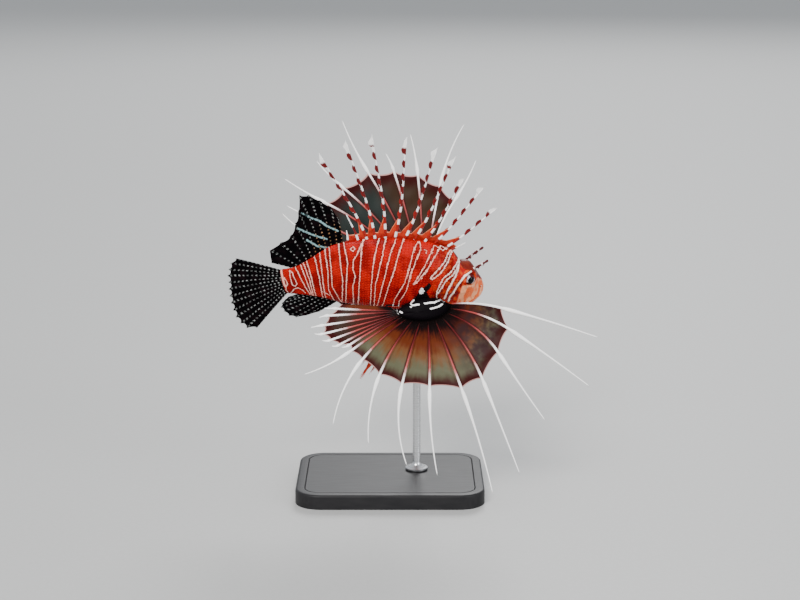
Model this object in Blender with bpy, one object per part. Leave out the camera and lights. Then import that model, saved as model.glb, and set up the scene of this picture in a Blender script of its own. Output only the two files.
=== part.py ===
# A life-size museum model of a spotfin lionfish, hovering on a plain display stand.
# Metres, +Z up. The fish faces +X and leans its back towards -Y.
# The fish is modelled upright in its own frame (x forward, y to its left, z up, origin in
# the middle of the body), and an empty then lifts and banks the whole animal.

import bpy
import bmesh
import math
from mathutils import Vector

# Driving sizes

MM = 0.001
STANDARD_LENGTH = 135 * MM
GAP = 0.3 * MM
BANK_DEG = 21
FISH_HEIGHT = 137 * MM

# The course of the backbone: nose-down pitch and turn to the fish's left, at stations from
# the snout (0) to the base of the tail fin (1)
BEND_T = (0.0, 0.15, 0.30, 0.45, 0.60, 0.80, 1.0)
PITCH_DEG = (23, 26, 20, 8, 0, -8, -11)
YAW_DEG = (34, 30, 16, 4, 0, 0, -4)

# Outline of the body, in standard lengths, measured from the backbone line
BODY_T = (0, .012, .03, .06, .10, .15, .20, .27, .35, .45, .55, .65, .75, .85, .93, 1.0)
BODY_TOP = (.001, .019, .039, .060, .087, .116, .114, .160, .180, .188, .184, .172, .150, .096,
            .063, .060)
BODY_BOTTOM = (.001, -.058, -.082, -.103, -.119, -.130, -.140, -.158, -.175, -.183, -.186, -.171,
               -.149, -.108, -.083, -.067)
BODY_HALF_WIDTH = (0, .018, .030, .044, .058, .072, .082, .096, .100, .094, .082, .066, .047, .030,
                   .020, .012)
BACK_NARROWING = 0.30
BODY_SEGMENTS = 36
BODY_RINGS = 56

HEAD_END = 0.375
TAIL_START = 0.72
TAIL_END = 0.985

# The eyes, in standard lengths in the frame of the backbone
EYE_T = 0.1525
EYE_UP = 0.047
EYE_OUT = 0.048
EYE_RADIUS = 0.030
ORBIT_SWELL = 0.018
ORBIT_REACH = 0.045
BROW_RISE = 0.012

# The mouth line runs from the snout down to its corner
MOUTH_CORNER_T = 0.105
MOUTH_TIP_UP = -0.022
MOUTH_CORNER_UP = -0.066
LIP_SWELL = 0.005
LIP_REACH = 0.017
NOSTRIL_T = 0.068
NOSTRIL_ANGLE_DEG = 42
NOSTRIL_RADIUS = 0.55 * MM

# The edge of the gill cover
GILL_T = 0.345
GILL_BULGE = 0.030
GILL_SWELL = 0.007

# Both pectoral fins are spread in planes turned this far from the middle plane of the body
FIN_PLANE_DEG = 33
WEB_HALF = 0.25 * MM
RAY_SHARE = 0.62


def smooth_table(stations, values):
    """A smooth function through a short table, with level ends past it."""
    slopes = []
    for i in range(len(stations)):
        a = max(i - 1, 0)
        b = min(i + 1, len(stations) - 1)
        slopes.append((values[b] - values[a]) / (stations[b] - stations[a]))

    def value(x):
        if x <= stations[0]:
            return values[0]
        if x >= stations[-1]:
            return values[-1]
        i = max(k for k in range(len(stations) - 1) if stations[k] <= x)
        span = stations[i + 1] - stations[i]
        s = (x - stations[i]) / span
        start = (2 * s**3 - 3 * s**2 + 1) * values[i] + (s**3 - 2 * s**2 + s) * span * slopes[i]
        end = (3 * s**2 - 2 * s**3) * values[i + 1] + (s**3 - s**2) * span * slopes[i + 1]
        return start + end

    return value


def root_table(stations, values):
    """The same against the square root of the station, which rounds the nose."""
    table = smooth_table([math.sqrt(s) for s in stations], values)
    return lambda t: table(math.sqrt(max(t, 0.0)))


pitch_at = smooth_table(BEND_T, PITCH_DEG)
yaw_at = smooth_table(BEND_T, YAW_DEG)
top_at = root_table(BODY_T, BODY_TOP)
bottom_at = root_table(BODY_T, BODY_BOTTOM)
half_width_at = root_table(BODY_T, BODY_HALF_WIDTH)


def heading(t):
    """Direction of the backbone towards the snout."""
    pitch = math.radians(pitch_at(t))
    yaw = math.radians(yaw_at(t))
    return Vector((math.cos(pitch) * math.cos(yaw), math.cos(pitch) * math.sin(yaw),
                   -math.sin(pitch)))


BACKBONE_STEPS = 100


def backbone_points():
    """The backbone from snout to tail base, set so that its middle is the origin."""
    step = 1 / BACKBONE_STEPS
    points = [Vector()]
    for i in range(BACKBONE_STEPS):
        points.append(points[-1] - heading((i + 0.5) * step) * step * STANDARD_LENGTH)
    middle = points[BACKBONE_STEPS // 2].copy()
    return [p - middle for p in points]


BACKBONE = backbone_points()


def backbone(t):
    """Place and frame at a station: centre, forward, left, up."""
    x = min(max(t, 0.0), 0.9999) * BACKBONE_STEPS
    i = int(x)
    centre = BACKBONE[i].lerp(BACKBONE[i + 1], x - i)
    forward = heading(t)
    left = Vector((0, 0, 1)).cross(forward).normalized()
    return centre, forward, left, forward.cross(left)


def near(x, width):
    """A soft bump of the given width round zero."""
    return math.exp(-(x / width) ** 2)


def step_up(x):
    """A smooth step from 0 to 1."""
    x = min(max(x, 0.0), 1.0)
    return x * x * (3 - 2 * x)


def mouth_line(t):
    """Height of the mouth line, in standard lengths."""
    s = min(t / MOUTH_CORNER_T, 1.0)
    return MOUTH_TIP_UP + (MOUTH_CORNER_UP - MOUTH_TIP_UP) * s


def gill_edge(angle):
    """Station of the rear edge of the gill cover, at an angle round the body."""
    return GILL_T + GILL_BULGE * math.sin(angle) ** 2 * (1 - 0.4 * math.cos(angle))


def head_relief(t, angle, out, up):
    """How far the head stands proud of its plain outline, in standard lengths."""
    distance = math.hypot(t - EYE_T, up - EYE_UP - BROW_RISE)
    swell = ORBIT_SWELL * near(distance, ORBIT_REACH) * step_up(out / 0.03)
    if t < MOUTH_CORNER_T + 0.02:
        fade = 1 - step_up((t - MOUTH_CORNER_T) / 0.02)
        swell += LIP_SWELL * near(up - mouth_line(t), LIP_REACH) * fade * step_up(t / 0.008)
    edge = gill_edge(angle)
    if t < edge:
        swell += GILL_SWELL * step_up((t - 0.20) / 0.12) * math.sin(angle) ** 2
    return swell


def body_point(t, angle):
    """A point of the skin: angle 0 is the back, 90 degrees the fish's left side."""
    centre, forward, left, up_axis = backbone(t)
    top = top_at(t)
    bottom = bottom_at(t)
    cos = math.cos(angle)
    sin = math.sin(angle)
    width = half_width_at(t) * (1 - BACK_NARROWING * max(cos, 0) ** 2)
    out = width * abs(sin)
    up = (top + bottom) / 2 + (top - bottom) / 2 * cos
    swell = head_relief(t, angle, out, up)
    out += swell * abs(sin)
    up += swell * cos
    side = 1 if sin >= 0 else -1
    return centre + (left * out * side + up_axis * up) * STANDARD_LENGTH


def ring_station(w):
    """Spreads the rings of the body, closest on the head."""
    return 0.35 * w**2 + 0.65 * w**3


# Meshes and materials

def new_material(name, colour, roughness, metallic=0.0):
    material = bpy.data.materials.new(name)
    material.use_nodes = True
    shader = material.node_tree.nodes["Principled BSDF"]
    shader.inputs["Base Color"].default_value = (*colour, 1)
    shader.inputs["Roughness"].default_value = roughness
    shader.inputs["Metallic"].default_value = metallic
    return material


def face_outwards(bm):
    """Turns all faces of a closed mesh outwards."""
    bm.normal_update()
    bmesh.ops.recalc_face_normals(bm, faces=bm.faces)
    if bm.calc_volume(signed=True) < 0:
        bmesh.ops.reverse_faces(bm, faces=bm.faces)
    bm.normal_update()


def add_object(name, bm, material=None, parent=None):
    """Closes a mesh's working copy and puts it in the scene as one object."""
    bmesh.ops.triangulate(bm, faces=bm.faces)
    face_outwards(bm)
    mesh = bpy.data.meshes.new(name)
    bm.to_mesh(mesh)
    bm.free()
    mesh.shade_smooth()
    mesh.set_sharp_from_angle(angle=math.radians(35))
    obj = bpy.data.objects.new(name, mesh)
    bpy.context.scene.collection.objects.link(obj)
    if material:
        mesh.materials.append(material)
    obj.parent = parent
    return obj


def boolean(obj, cutter, operation):
    """Applies one Boolean to an object and removes the cutter."""
    modifier = obj.modifiers.new(operation, "BOOLEAN")
    modifier.object = cutter
    modifier.operation = operation
    modifier.solver = "EXACT"
    bpy.context.view_layer.update()
    result = bpy.data.meshes.new_from_object(obj.evaluated_get(bpy.context.evaluated_depsgraph_get()))
    obj.modifiers.clear()
    obj.data = result
    cleaned = bmesh.new()
    cleaned.from_mesh(result)
    keep_largest(cleaned)
    cleaned.to_mesh(result)
    cleaned.free()
    bpy.data.objects.remove(cutter)


def keep_largest(bm):
    """Triangulates, welds what is nearly one point, and keeps the biggest closed surface."""
    bmesh.ops.remove_doubles(bm, verts=bm.verts, dist=0.004 * MM)
    bmesh.ops.dissolve_degenerate(bm, edges=bm.edges, dist=0.004 * MM)
    bmesh.ops.triangulate(bm, faces=bm.faces)
    left = set(bm.verts)
    shells = []
    while left:
        shell = set()
        front = [left.pop()]
        while front:
            vert = front.pop()
            shell.add(vert)
            for edge in vert.link_edges:
                other = edge.other_vert(vert)
                if other in left:
                    left.remove(other)
                    front.append(other)
        shells.append(shell)
    biggest = max(shells, key=len)
    loose = [v for v in bm.verts if v not in biggest]
    bmesh.ops.delete(bm, geom=loose, context="VERTS")


def copy_of(obj, name):
    other = obj.copy()
    other.data = obj.data.copy()
    other.name = name
    bpy.context.scene.collection.objects.link(other)
    return other


def body_mesh(swell=0.0):
    """The whole body without fins: a sphere whose rings are drawn along the backbone."""
    bm = bmesh.new()
    bmesh.ops.create_uvsphere(bm, u_segments=BODY_SEGMENTS, v_segments=BODY_RINGS, radius=1)
    for v in bm.verts:
        w = math.acos(min(max(v.co.z, -1), 1)) / math.pi
        v.co = body_point(ring_station(w), math.atan2(v.co.y, v.co.x))
    face_outwards(bm)
    for v in bm.verts:
        v.co += v.normal * swell
    return bm


def body_cutter(parent):
    """The body with the gap all round, which trims whatever grows from it."""
    return cutter_object("body_cutter", body_mesh(GAP), parent)


def sphere_object(name, centre, radius, segments, material=None, parent=None):
    bm = bmesh.new()
    bmesh.ops.create_uvsphere(bm, u_segments=segments, v_segments=segments * 2 // 3, radius=radius)
    obj = add_object(name, bm, material, parent)
    obj.location = centre
    return obj


def slab_between(t_from, t_to):
    """Cuts the part of the body between two stations, with flat closed ends."""
    bm = body_mesh()
    for t, inner in ((t_from, True), (t_to, False)):
        if t is None:
            continue
        centre, forward, left, up = backbone(t)
        geom = bm.verts[:] + bm.edges[:] + bm.faces[:]
        cut = bmesh.ops.bisect_plane(bm, geom=geom, plane_co=centre, plane_no=-forward,
                                     clear_inner=inner, clear_outer=not inner)
        rim = [e for e in cut["geom_cut"] if isinstance(e, bmesh.types.BMEdge)]
        bmesh.ops.contextual_create(bm, geom=rim)
    return bm


# Sheets, fins and rays

def ribbed_sheet(points, mids, half, ridge, width, free=None, flag=None):
    """One closed fin: rays raised on both faces of a web, running on past it as spikes.

    points[i][j] is ray i at row j, and mids[i][j] the web half way to ray i + 1. half is the
    web's half thickness; ridge(i, j) and width(i, j) are a ray's half height and half width.
    free[i] lists (point, half height, half width) beyond the web. flag(i, k) widens the rear
    edge of a free part.
    """
    bm = bmesh.new()
    rays = len(points)
    rows = len(points[0])
    across = []
    normals = []
    for i in range(rays):
        across.append([])
        normals.append([])
        for j in range(rows):
            before = points[i][j] if i == 0 else mids[i - 1][j]
            after = points[i][j] if i == rays - 1 else mids[i][j]
            along = points[i][min(j + 1, rows - 1)] - points[i][max(j - 1, 0)]
            along.normalize()
            side = after - before
            if j > 0:
                side -= along * side.dot(along)
            side.normalize()
            across[i].append(side)
            normals[i].append(along.cross(side).normalized())

    columns = []
    for i in range(rays):
        left = []
        crest = []
        right = []
        for j in range(rows):
            p = points[i][j]
            s = across[i][j]
            n = normals[i][j]
            gaps = [(mids[m][j] - p).length for m in (i - 1, i) if 0 <= m < rays - 1]
            w = min(width(i, j), RAY_SHARE * min(gaps))
            h = ridge(i, j)
            for column, offset, rise in ((left, -w, half), (crest, 0, h), (right, w, half)):
                column.append([bm.verts.new(p + s * offset + n * rise * face) for face in (1, -1)])
        columns += [left, crest, right]
        if i < rays - 1:
            middle = []
            for j in range(rows):
                n = (normals[i][j] + normals[i + 1][j]).normalized()
                middle.append([bm.verts.new(mids[i][j] + n * half * face) for face in (1, -1)])
            columns.append(middle)

    def quad(a, b, c, d):
        bm.faces.new((a, b, c))
        bm.faces.new((a, c, d))

    for a, b in zip(columns, columns[1:]):
        for j in range(rows - 1):
            for face in (0, 1):
                quad(a[j][face], b[j][face], b[j + 1][face], a[j + 1][face])
        quad(a[0][0], b[0][0], b[0][1], a[0][1])
    for edge in (columns[0], columns[-1]):
        for j in range(rows - 1):
            quad(edge[j][0], edge[j + 1][0], edge[j + 1][1], edge[j][1])

    last = rows - 1
    for c, (a, b) in enumerate(zip(columns, columns[1:])):
        within_ray = c % 4 in (0, 1)
        if not within_ray or free is None:
            quad(a[last][0], b[last][0], b[last][1], a[last][1])
    if free is not None:
        for i in range(rays):
            left, crest, right = columns[4 * i: 4 * i + 3]
            ring = [left[last][0], crest[last][0], right[last][0], right[last][1], crest[last][1],
                    left[last][1]]
            s = across[i][last]
            n = normals[i][last]
            before = points[i][last]
            for k, (p, h, w) in enumerate(free[i]):
                along = (p - before).normalized()
                s = (s - along * s.dot(along)).normalized()
                n = along.cross(s)
                before = p
                if k == len(free[i]) - 1:
                    tip = bm.verts.new(p)
                    for a, b in zip(ring, ring[1:] + ring[:1]):
                        bm.faces.new((a, b, tip))
                    break
                extra = flag(i, k) if flag else 0.0
                thin = min(h, WEB_HALF)
                places = ((-w, thin), (0, h), (w + extra, thin), (w + extra, -thin), (0, -h),
                          (-w, -thin))
                following = [bm.verts.new(p + s * x + n * y) for x, y in places]
                for m in range(6):
                    quad(ring[m], ring[(m + 1) % 6], following[(m + 1) % 6], following[m])
                ring = following
    return bm


def between(a, b, s):
    return a + (b - a) * s


def fin_rows(count):
    return [j / (count - 1) for j in range(count)]


# The spiny dorsal fin: for each spine the station of its base, its forward lean in degrees and
# its length in millimetres
SPINE_T = (.266, .292, .345, .382, .421, .456, .494, .531, .571, .603, .638, .679)
SPINES = ((61, 10), (48, 40), (37, 48), (28, 48), (23, 60), (17, 63), (6, 67), (-6, 69), (-14, 67),
          (-25, 63), (-21, 19), (-5, 8))
SPINE_WEB = 0.24
SPINE_WEB_MOST = 13 * MM
SPINE_WIDTH = 1.1 * MM
SPINE_THICKNESS = 0.85
SPINE_TAPER = 0.72
SPINE_ROWS = 3
SPINE_FREE = 5
WEB_DIP = 0.55
PENNANT = 1.5 * MM
PENNANT_START = 0.35
PENNANT_LEAST_SPINE = 30


def dorsal_root(t):
    return body_point(t, 0) + backbone(t)[3] * GAP


def dorsal_spines():
    count = len(SPINES)
    points = []
    mids = []
    free = []
    for t, (lean, length) in zip(SPINE_T, SPINES):
        root = dorsal_root(t)
        slope = math.radians(lean)
        along = Vector((math.sin(slope), 0, math.cos(slope)))
        long = length * MM
        web = min(SPINE_WEB * long, SPINE_WEB_MOST)
        points.append([root + along * web * s for s in fin_rows(SPINE_ROWS)])
        spike = []
        for k in range(1, SPINE_FREE + 1):
            s = k / SPINE_FREE
            size = SPINE_WIDTH * (1 - SPINE_TAPER * s)
            spike.append((root + along * between(web, long, s), size * SPINE_THICKNESS, size))
        free.append(spike)
    for i in range(count - 1):
        middle = []
        root = dorsal_root((SPINE_T[i] + SPINE_T[i + 1]) / 2)
        for j in range(SPINE_ROWS):
            rise = (points[i][j] - points[i][0] + points[i + 1][j] - points[i + 1][0]) / 2
            middle.append(root + rise * WEB_DIP)
        mids.append(middle)

    def flag(i, k):
        if SPINES[i][1] < PENNANT_LEAST_SPINE:
            return 0.0
        return PENNANT * (PENNANT_START if k < 2 else 1.0)

    return ribbed_sheet(points, mids, WEB_HALF, lambda i, j: SPINE_WIDTH * SPINE_THICKNESS,
                        lambda i, j: SPINE_WIDTH, free, flag)


# Fins in the middle plane: station range of the base, then for each ray from front to rear its
# lean back from the body's own up or down, in degrees, and its length in millimetres. The
# tail fin has a length for each ray from its upper edge down.
SOFT_DORSAL_T = (0.702, 0.930)
SOFT_DORSAL_RAYS = ((-2, 18), (-3, 27), (0, 33), (3, 39), (5, 41), (6, 32), (8, 26), (15, 20),
                    (28, 19), (45, 19), (64, 13))
ANAL_T = (0.755, 0.925)
ANAL_RAYS = ((59, 14), (60, 20), (61, 24), (64, 25), (69, 24), (74, 22), (77, 18), (78, 13), (78, 8))
CAUDAL_LENGTHS = (30, 33, 34, 35, 35, 36, 37, 38, 39, 40, 40, 39, 34)
CAUDAL_FAN_DEG = 70
CAUDAL_TURN_DEG = -7
CAUDAL_ROOT_SHARE = 0.86
SOFT_RAY_WIDTH = 0.62 * MM
MIDDLE_DROOP = Vector((-0.08, 0, 0))
FIN_SUNK = 0.6 * MM
FIN_ROWS = 4
RAY_TIP_SHARE = 0.06
WEB_NOTCH = 0.18


def web_between(points, roots):
    """The web half way between neighbouring rays, from given root points, notched outside."""
    mids = []
    for a, b, root in zip(points, points[1:], roots):
        middle = [root]
        for j in range(1, len(a)):
            inner = (a[j - 1] + b[j - 1]) / 2
            outer = (a[j] + b[j]) / 2
            notch = WEB_NOTCH if j == len(a) - 1 else 0.0
            middle.append(outer.lerp(inner, notch))
        mids.append(middle)
    return mids


def straight_fin(roots, mid_roots, directions, lengths, droop, width, tip=RAY_TIP_SHARE):
    """A fin whose rays end just past the web."""
    points = []
    free = []
    for root, along, length in zip(roots, directions, lengths):
        reach = length * (1 - tip)
        points.append([root + (along * s + droop * s * s) * reach for s in fin_rows(FIN_ROWS)])
        end = root + (along + droop) * length
        free.append([(end, 0, 0)])
    mids = web_between(points, mid_roots)
    return ribbed_sheet(points, mids, WEB_HALF, lambda i, j: width * (0.95 - 0.12 * j),
                        lambda i, j: width * (0.9 - 0.12 * j), free)


def middle_fin(t_range, rays, side, width):
    """The soft dorsal fin (side 1) or the anal fin (side -1)."""
    angle = 0 if side > 0 else math.pi
    last = len(rays) - 1

    def root_at(s):
        t = between(*t_range, s)
        return body_point(t, angle) - backbone(t)[3] * FIN_SUNK * side

    roots = []
    directions = []
    lengths = []
    for i, (lean_deg, length) in enumerate(rays):
        forward, left, up = backbone(between(*t_range, i / last))[1:]
        lean = math.radians(lean_deg)
        roots.append(root_at(i / last))
        directions.append(up * side * math.cos(lean) - forward * math.sin(lean))
        lengths.append(length * MM)
    mid_roots = [root_at((i + 0.5) / last) for i in range(last)]
    return straight_fin(roots, mid_roots, directions, lengths, MIDDLE_DROOP, width)


def caudal_fin():
    centre, forward, left, up = backbone(TAIL_END)
    top = top_at(TAIL_END) * STANDARD_LENGTH
    bottom = bottom_at(TAIL_END) * STANDARD_LENGTH
    start = centre + up * (top + bottom) / 2 - forward * GAP
    reach = (top - bottom) / 2 * CAUDAL_ROOT_SHARE
    last = len(CAUDAL_LENGTHS) - 1

    def root_at(s):
        return start + up * reach * (1 - 2 * s)

    roots = []
    directions = []
    lengths = []
    for i, length in enumerate(CAUDAL_LENGTHS):
        turn = math.radians((0.5 - i / last) * CAUDAL_FAN_DEG + CAUDAL_TURN_DEG)
        roots.append(root_at(i / last))
        directions.append(up * math.sin(turn) - forward * math.cos(turn))
        lengths.append(length * MM)
    mid_roots = [root_at((i + 0.5) / last) for i in range(last)]
    return straight_fin(roots, mid_roots, directions, lengths, left * -0.05, SOFT_RAY_WIDTH)


# The pelvic fins: a short base on the belly, and rays swept back and a little out
PELVIC_T = (0.381, 0.426)
PELVIC_ANGLE_DEG = 168
PELVIC_RAYS = 6
PELVIC_LENGTH = (34, 46, 52, 42, 36, 30)
PELVIC_SWEEP_DEG = (22, 25, 29, 34, 40, 49)
PELVIC_SPREAD_DEG = 13
PELVIC_SUNK = 1.5 * MM


def pelvic_fin(side):
    angle = math.radians(PELVIC_ANGLE_DEG) * side
    spread = math.radians(PELVIC_SPREAD_DEG)

    def root_at(s):
        t = between(*PELVIC_T, s)
        return body_point(t, angle) + backbone(t)[3] * PELVIC_SUNK

    roots = []
    directions = []
    sizes = []
    for i in range(PELVIC_RAYS):
        sweep = math.radians(PELVIC_SWEEP_DEG[i])
        roots.append(root_at(i / (PELVIC_RAYS - 1)))
        directions.append(Vector((-math.sin(sweep), side * math.sin(spread),
                                  -math.cos(sweep) * math.cos(spread))))
        sizes.append(PELVIC_LENGTH[i] * MM)
    mid_roots = [root_at((i + 0.5) / (PELVIC_RAYS - 1)) for i in range(PELVIC_RAYS - 1)]
    return straight_fin(roots, mid_roots, directions, sizes, Vector((-0.06, side * 0.05, 0)),
                        0.7 * MM, 0.08)


# The pectoral fins. Each plane has x forward, a second axis away from the body's back (for
# the right fin down, for the left fin up) and a third axis straight out of the plane.
# For each ray, from the upper one on: direction in degrees from forward at its root, at the
# edge of the web and at its tip, then the length of the web and of the whole ray in mm.
RIGHT_RAYS = (
    (-6, 15, 19, 30, 90), (4, 34, 37, 37, 96), (18, 57, 54, 39, 88), (46, 68, 69, 44, 105),
    (69, 70, 77, 44, 109), (87, 91, 79, 39, 92), (110, 103, 70, 39, 88), (132, 112, 86, 38, 80),
    (147, 129, 99, 36, 79), (150, 144, 163, 37, 68), (153, 147, 184, 35, 40),
    (156, 151, 200, 40, 45), (159, 160, 210, 44, 49), (163, 167, 206, 47, 52),
    (169, 172, 168, 45, 53), (177, 177, 158, 41, 47), (182, 183, 180, 35, 43),
)
LEFT_RAYS = (
    (82, 56, 68, 46, 75), (82, 78, 59, 52, 94), (90, 96, 105, 58, 84), (102, 108, 122, 62, 74),
    (112, 122, 111, 66, 103), (122, 141, 128, 66, 90), (131, 154, 145, 66, 97),
    (147, 157, 150, 60, 85), (157, 162, 131, 56, 85), (163, 157, 154, 50, 64),
    (165, 164, 164, 48, 58), (172, 172, 172, 47, 54), (180, 180, 180, 46, 52),
    (188, 188, 188, 44, 50), (196, 196, 196, 42, 47), (204, 204, 204, 38, 43),
    (212, 212, 212, 34, 39),
)
PECTORAL_ROWS = 5
PECTORAL_FREE = 4
RAY_STEPS = 32
RISE_REACH = 18.5 * MM
RAY_ROOT_WIDTH = 0.45 * MM
RAY_WEB_WIDTH = 0.95 * MM
RAY_TIP_WIDTH = 0.22 * MM


class PectoralPlane:
    """The plane that one pectoral fin is spread in, and its oval of ray roots."""

    def __init__(self, side):
        turn = math.radians(FIN_PLANE_DEG)
        down = Vector((0, -math.sin(turn), -math.cos(turn)))
        out = Vector((0, -math.cos(turn), math.sin(turn)))
        self.forward = Vector((1, 0, 0))
        if side < 0:
            self.second = down
            self.out = out
            self.centre = self.forward * 19 * MM + down * 19 * MM
            self.rays = RIGHT_RAYS
            self.root_depth = (10.5 * MM, 6.0 * MM)
            self.radii = (17.8 * MM, 10.4 * MM)
            self.rise = (30 * MM, 8 * MM)
            self.root_turn = smooth_table((0, 4, 9, 12.5, 16), (0, 62, 130, 142.5, 155))
            self.flank = -1 * MM
            self.lean = down * -0.35
        else:
            self.second = -down
            self.out = -out
            self.centre = self.forward * 17 * MM + down * 3 * MM
            self.rays = LEFT_RAYS
            self.root_depth = (27.0 * MM, 24.0 * MM)
            self.radii = (13.0 * MM, 8.5 * MM)
            self.rise = (9 * MM, 4 * MM)
            self.root_turn = smooth_table((0, 16), (55, 215))
            self.flank = 16 * MM
            self.lean = Vector()

    def place(self, x, y, z):
        return self.centre + self.forward * x + self.second * y + self.out * z

    def root(self, f):
        """Root of ray f, counted from 0, on the rim of the fleshy base."""
        turn = math.radians(self.root_turn(f))
        depth = between(*self.root_depth, step_up((f - 8) / 8))
        return self.place(self.radii[0] * math.cos(turn), self.radii[1] * math.sin(turn), depth)

    def start(self, i):
        """Direction in which ray i leaves its root."""
        turn = math.radians(self.rays[i][0])
        rise = between(*self.rise, step_up((i - 8) / 8))
        return (self.forward * math.cos(turn) + self.second * math.sin(turn)
                + self.out * rise / RISE_REACH).normalized()

    def ray(self, i):
        """The path of a ray: a function of the length from its root, in metres."""
        start, edge, tip, web, whole = self.rays[i]
        rise = between(*self.rise, step_up((i - 8) / 8))
        step = whole * MM / RAY_STEPS
        path = [Vector((0, 0, 0))]
        for k in range(RAY_STEPS):
            s = (k + 0.5) * step / MM
            if s < web:
                turn = between(start, edge, s / web)
            else:
                turn = between(edge, tip, (s - web) / (whole - web))
            turn = math.radians(turn)
            path.append(path[-1] + Vector((math.cos(turn), math.sin(turn), 0)) * step)
        root = self.root(i)

        def point(s):
            x = min(s / step, RAY_STEPS - 0.0001)
            k = int(x)
            flat = path[k].lerp(path[k + 1], x - k)
            lift = rise * (1 - math.exp(-s / RISE_REACH))
            return root + self.forward * flat.x + self.second * flat.y + self.out * lift

        return point


def pectoral_fin(side):
    plane = PectoralPlane(side)
    count = len(plane.rays)
    points = []
    free = []
    for i in range(count):
        point = plane.ray(i)
        web = plane.rays[i][3] * MM
        whole = plane.rays[i][4] * MM
        points.append([point(web * s) for s in fin_rows(PECTORAL_ROWS)])
        spike = []
        rings = PECTORAL_FREE if whole - web > 15 * MM else 2
        for k in range(1, rings + 1):
            s = k / rings
            size = between(RAY_WEB_WIDTH, RAY_TIP_WIDTH, s)
            spike.append((point(between(web, whole, s)), size, size))
        free.append(spike)
    mid_roots = [plane.root(i + 0.5) for i in range(count - 1)]
    mids = web_between(points, mid_roots)

    def size(i, j):
        return between(RAY_ROOT_WIDTH, RAY_WEB_WIDTH, j / (PECTORAL_ROWS - 1))

    return ribbed_sheet(points, mids, WEB_HALF, size, size, free)


def loft(rings, dome=0.0):
    """Joins equal rings of points into one closed body, with ends that may be domed."""
    bm = bmesh.new()
    rows = [[bm.verts.new(p) for p in ring] for ring in rings]
    count = len(rings[0])
    for a, b in zip(rows, rows[1:]):
        for k in range(count):
            n = (k + 1) % count
            bm.faces.new((a[k], a[n], b[n]))
            bm.faces.new((a[k], b[n], b[k]))
    centres = [sum(ring, Vector()) / count for ring in (rings[0], rings[-1])]
    ahead = (centres[1] - centres[0]).normalized()
    for row, centre, push in ((rows[0], centres[0], -dome), (rows[-1], centres[1], dome)):
        middle = bm.verts.new(centre + ahead * push)
        for k in range(count):
            bm.faces.new((row[k], row[(k + 1) % count], middle))
    return bm


# The fleshy base of each pectoral fin: a flared stub from inside the flank to the ray roots.
# Its rings, from the inside out: share of the rim's size, and share of the way out
BASE_RINGS = ((0.62, -0.5), (0.66, 0.0), (0.82, 0.6))
BASE_DOME = ((0.72, 0.9 * MM), (0.36, 1.3 * MM))
BASE_BAND = 0.85 * MM
BASE_CLOSED_STEPS = 7
BASE_CLOSED_BULGE = 0.45


def pectoral_rim(plane):
    """The two edges of the band that faces the ray roots, then round the side without rays."""
    last = len(plane.rays) - 1
    low = []
    high = []
    for k in range(2 * last + 1):
        f = k / 2
        i = min(int(f), last - 1)
        run = plane.root(min(f + 0.25, last)) - plane.root(max(f - 0.25, 0))
        outward = plane.start(i).lerp(plane.start(i + 1), f - i).normalized()
        face = outward.cross(run).normalized() * BASE_BAND
        if face.dot(plane.out) < 0:
            face = -face
        edge = plane.root(f) - outward * GAP
        low.append(edge - face)
        high.append(edge + face)
    ends = (low[-1], low[0], high[-1], high[0])
    for k in range(1, BASE_CLOSED_STEPS):
        s = k / BASE_CLOSED_STEPS
        bulge = plane.second * plane.radii[1] * BASE_CLOSED_BULGE * math.sin(math.pi * s)
        low.append(ends[0].lerp(ends[1], s) - bulge)
        high.append(ends[2].lerp(ends[3], s) - bulge)
    return low, high


def pectoral_base(side):
    plane = PectoralPlane(side)
    low, high = pectoral_rim(plane)
    centre = plane.centre
    reach = plane.out.dot(sum(low, Vector()) / len(low) - centre) - plane.flank
    rings = []
    for share, way in BASE_RINGS:
        sink = reach * (1 - way)
        ring = []
        for p in low:
            height = plane.out.dot(p - centre)
            flat = p - centre - plane.out * height
            ring.append(centre + flat * share + plane.out * (height - sink) + plane.lean * sink)
        rings.append(ring)
    middle = sum(high, Vector()) / len(high)
    dome = [[middle.lerp(p, share) + plane.out * rise for p in high] for share, rise in BASE_DOME]
    return loft(rings + [low, high] + dome)


# The tentacle above each eye: a banded strap with two lobes on each side
TENTACLE_T = 0.137
TENTACLE_UP = 0.096
TENTACLE_OUT = 0.040
TENTACLE_LEAN_DEG = 47
TENTACLE_SPLAY = 0.19
TENTACLE_SUNK = 1.5 * MM
TENTACLE_LENGTH = {1: 17 * MM, -1: 12 * MM}
TENTACLE_WIDTHS = (1.1, 1.0, 0.9, 2.0, 0.9, 1.9, 0.8, 0.35)
TENTACLE_HALF_THICK = 0.5 * MM
TENTACLE_BEND = 1.5 * MM
TENTACLE_SIDES = 6


def tentacle(side):
    root = head_place(TENTACLE_T, TENTACLE_UP, TENTACLE_OUT * side)
    forward, left, up = backbone(TENTACLE_T)[1:]
    lean = math.radians(TENTACLE_LEAN_DEG)
    along = (forward * math.sin(lean) + left * TENTACLE_SPLAY * side + up * math.cos(lean)).normalized()
    broad = along.cross(left).normalized()
    thin = along.cross(broad)
    start = root - along * TENTACLE_SUNK
    rings = []
    last = len(TENTACLE_WIDTHS) - 1
    for k, width in enumerate(TENTACLE_WIDTHS):
        s = k / last
        centre = start + along * TENTACLE_LENGTH[side] * s + thin * side * TENTACLE_BEND * s * s
        thick = TENTACLE_HALF_THICK * (1 - 0.45 * s)
        ring = []
        for m in range(TENTACLE_SIDES):
            turn = 2 * math.pi * m / TENTACLE_SIDES
            ring.append(centre + broad * width * MM * math.cos(turn) + thin * thick * math.sin(turn))
        rings.append(ring)
    return loft(rings, 0.3 * MM)


# The lower jaw is cut from the head by a wedge below the mouth line
JAW_REAR_T = 0.128
JAW_REAR_UP = -0.14


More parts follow.
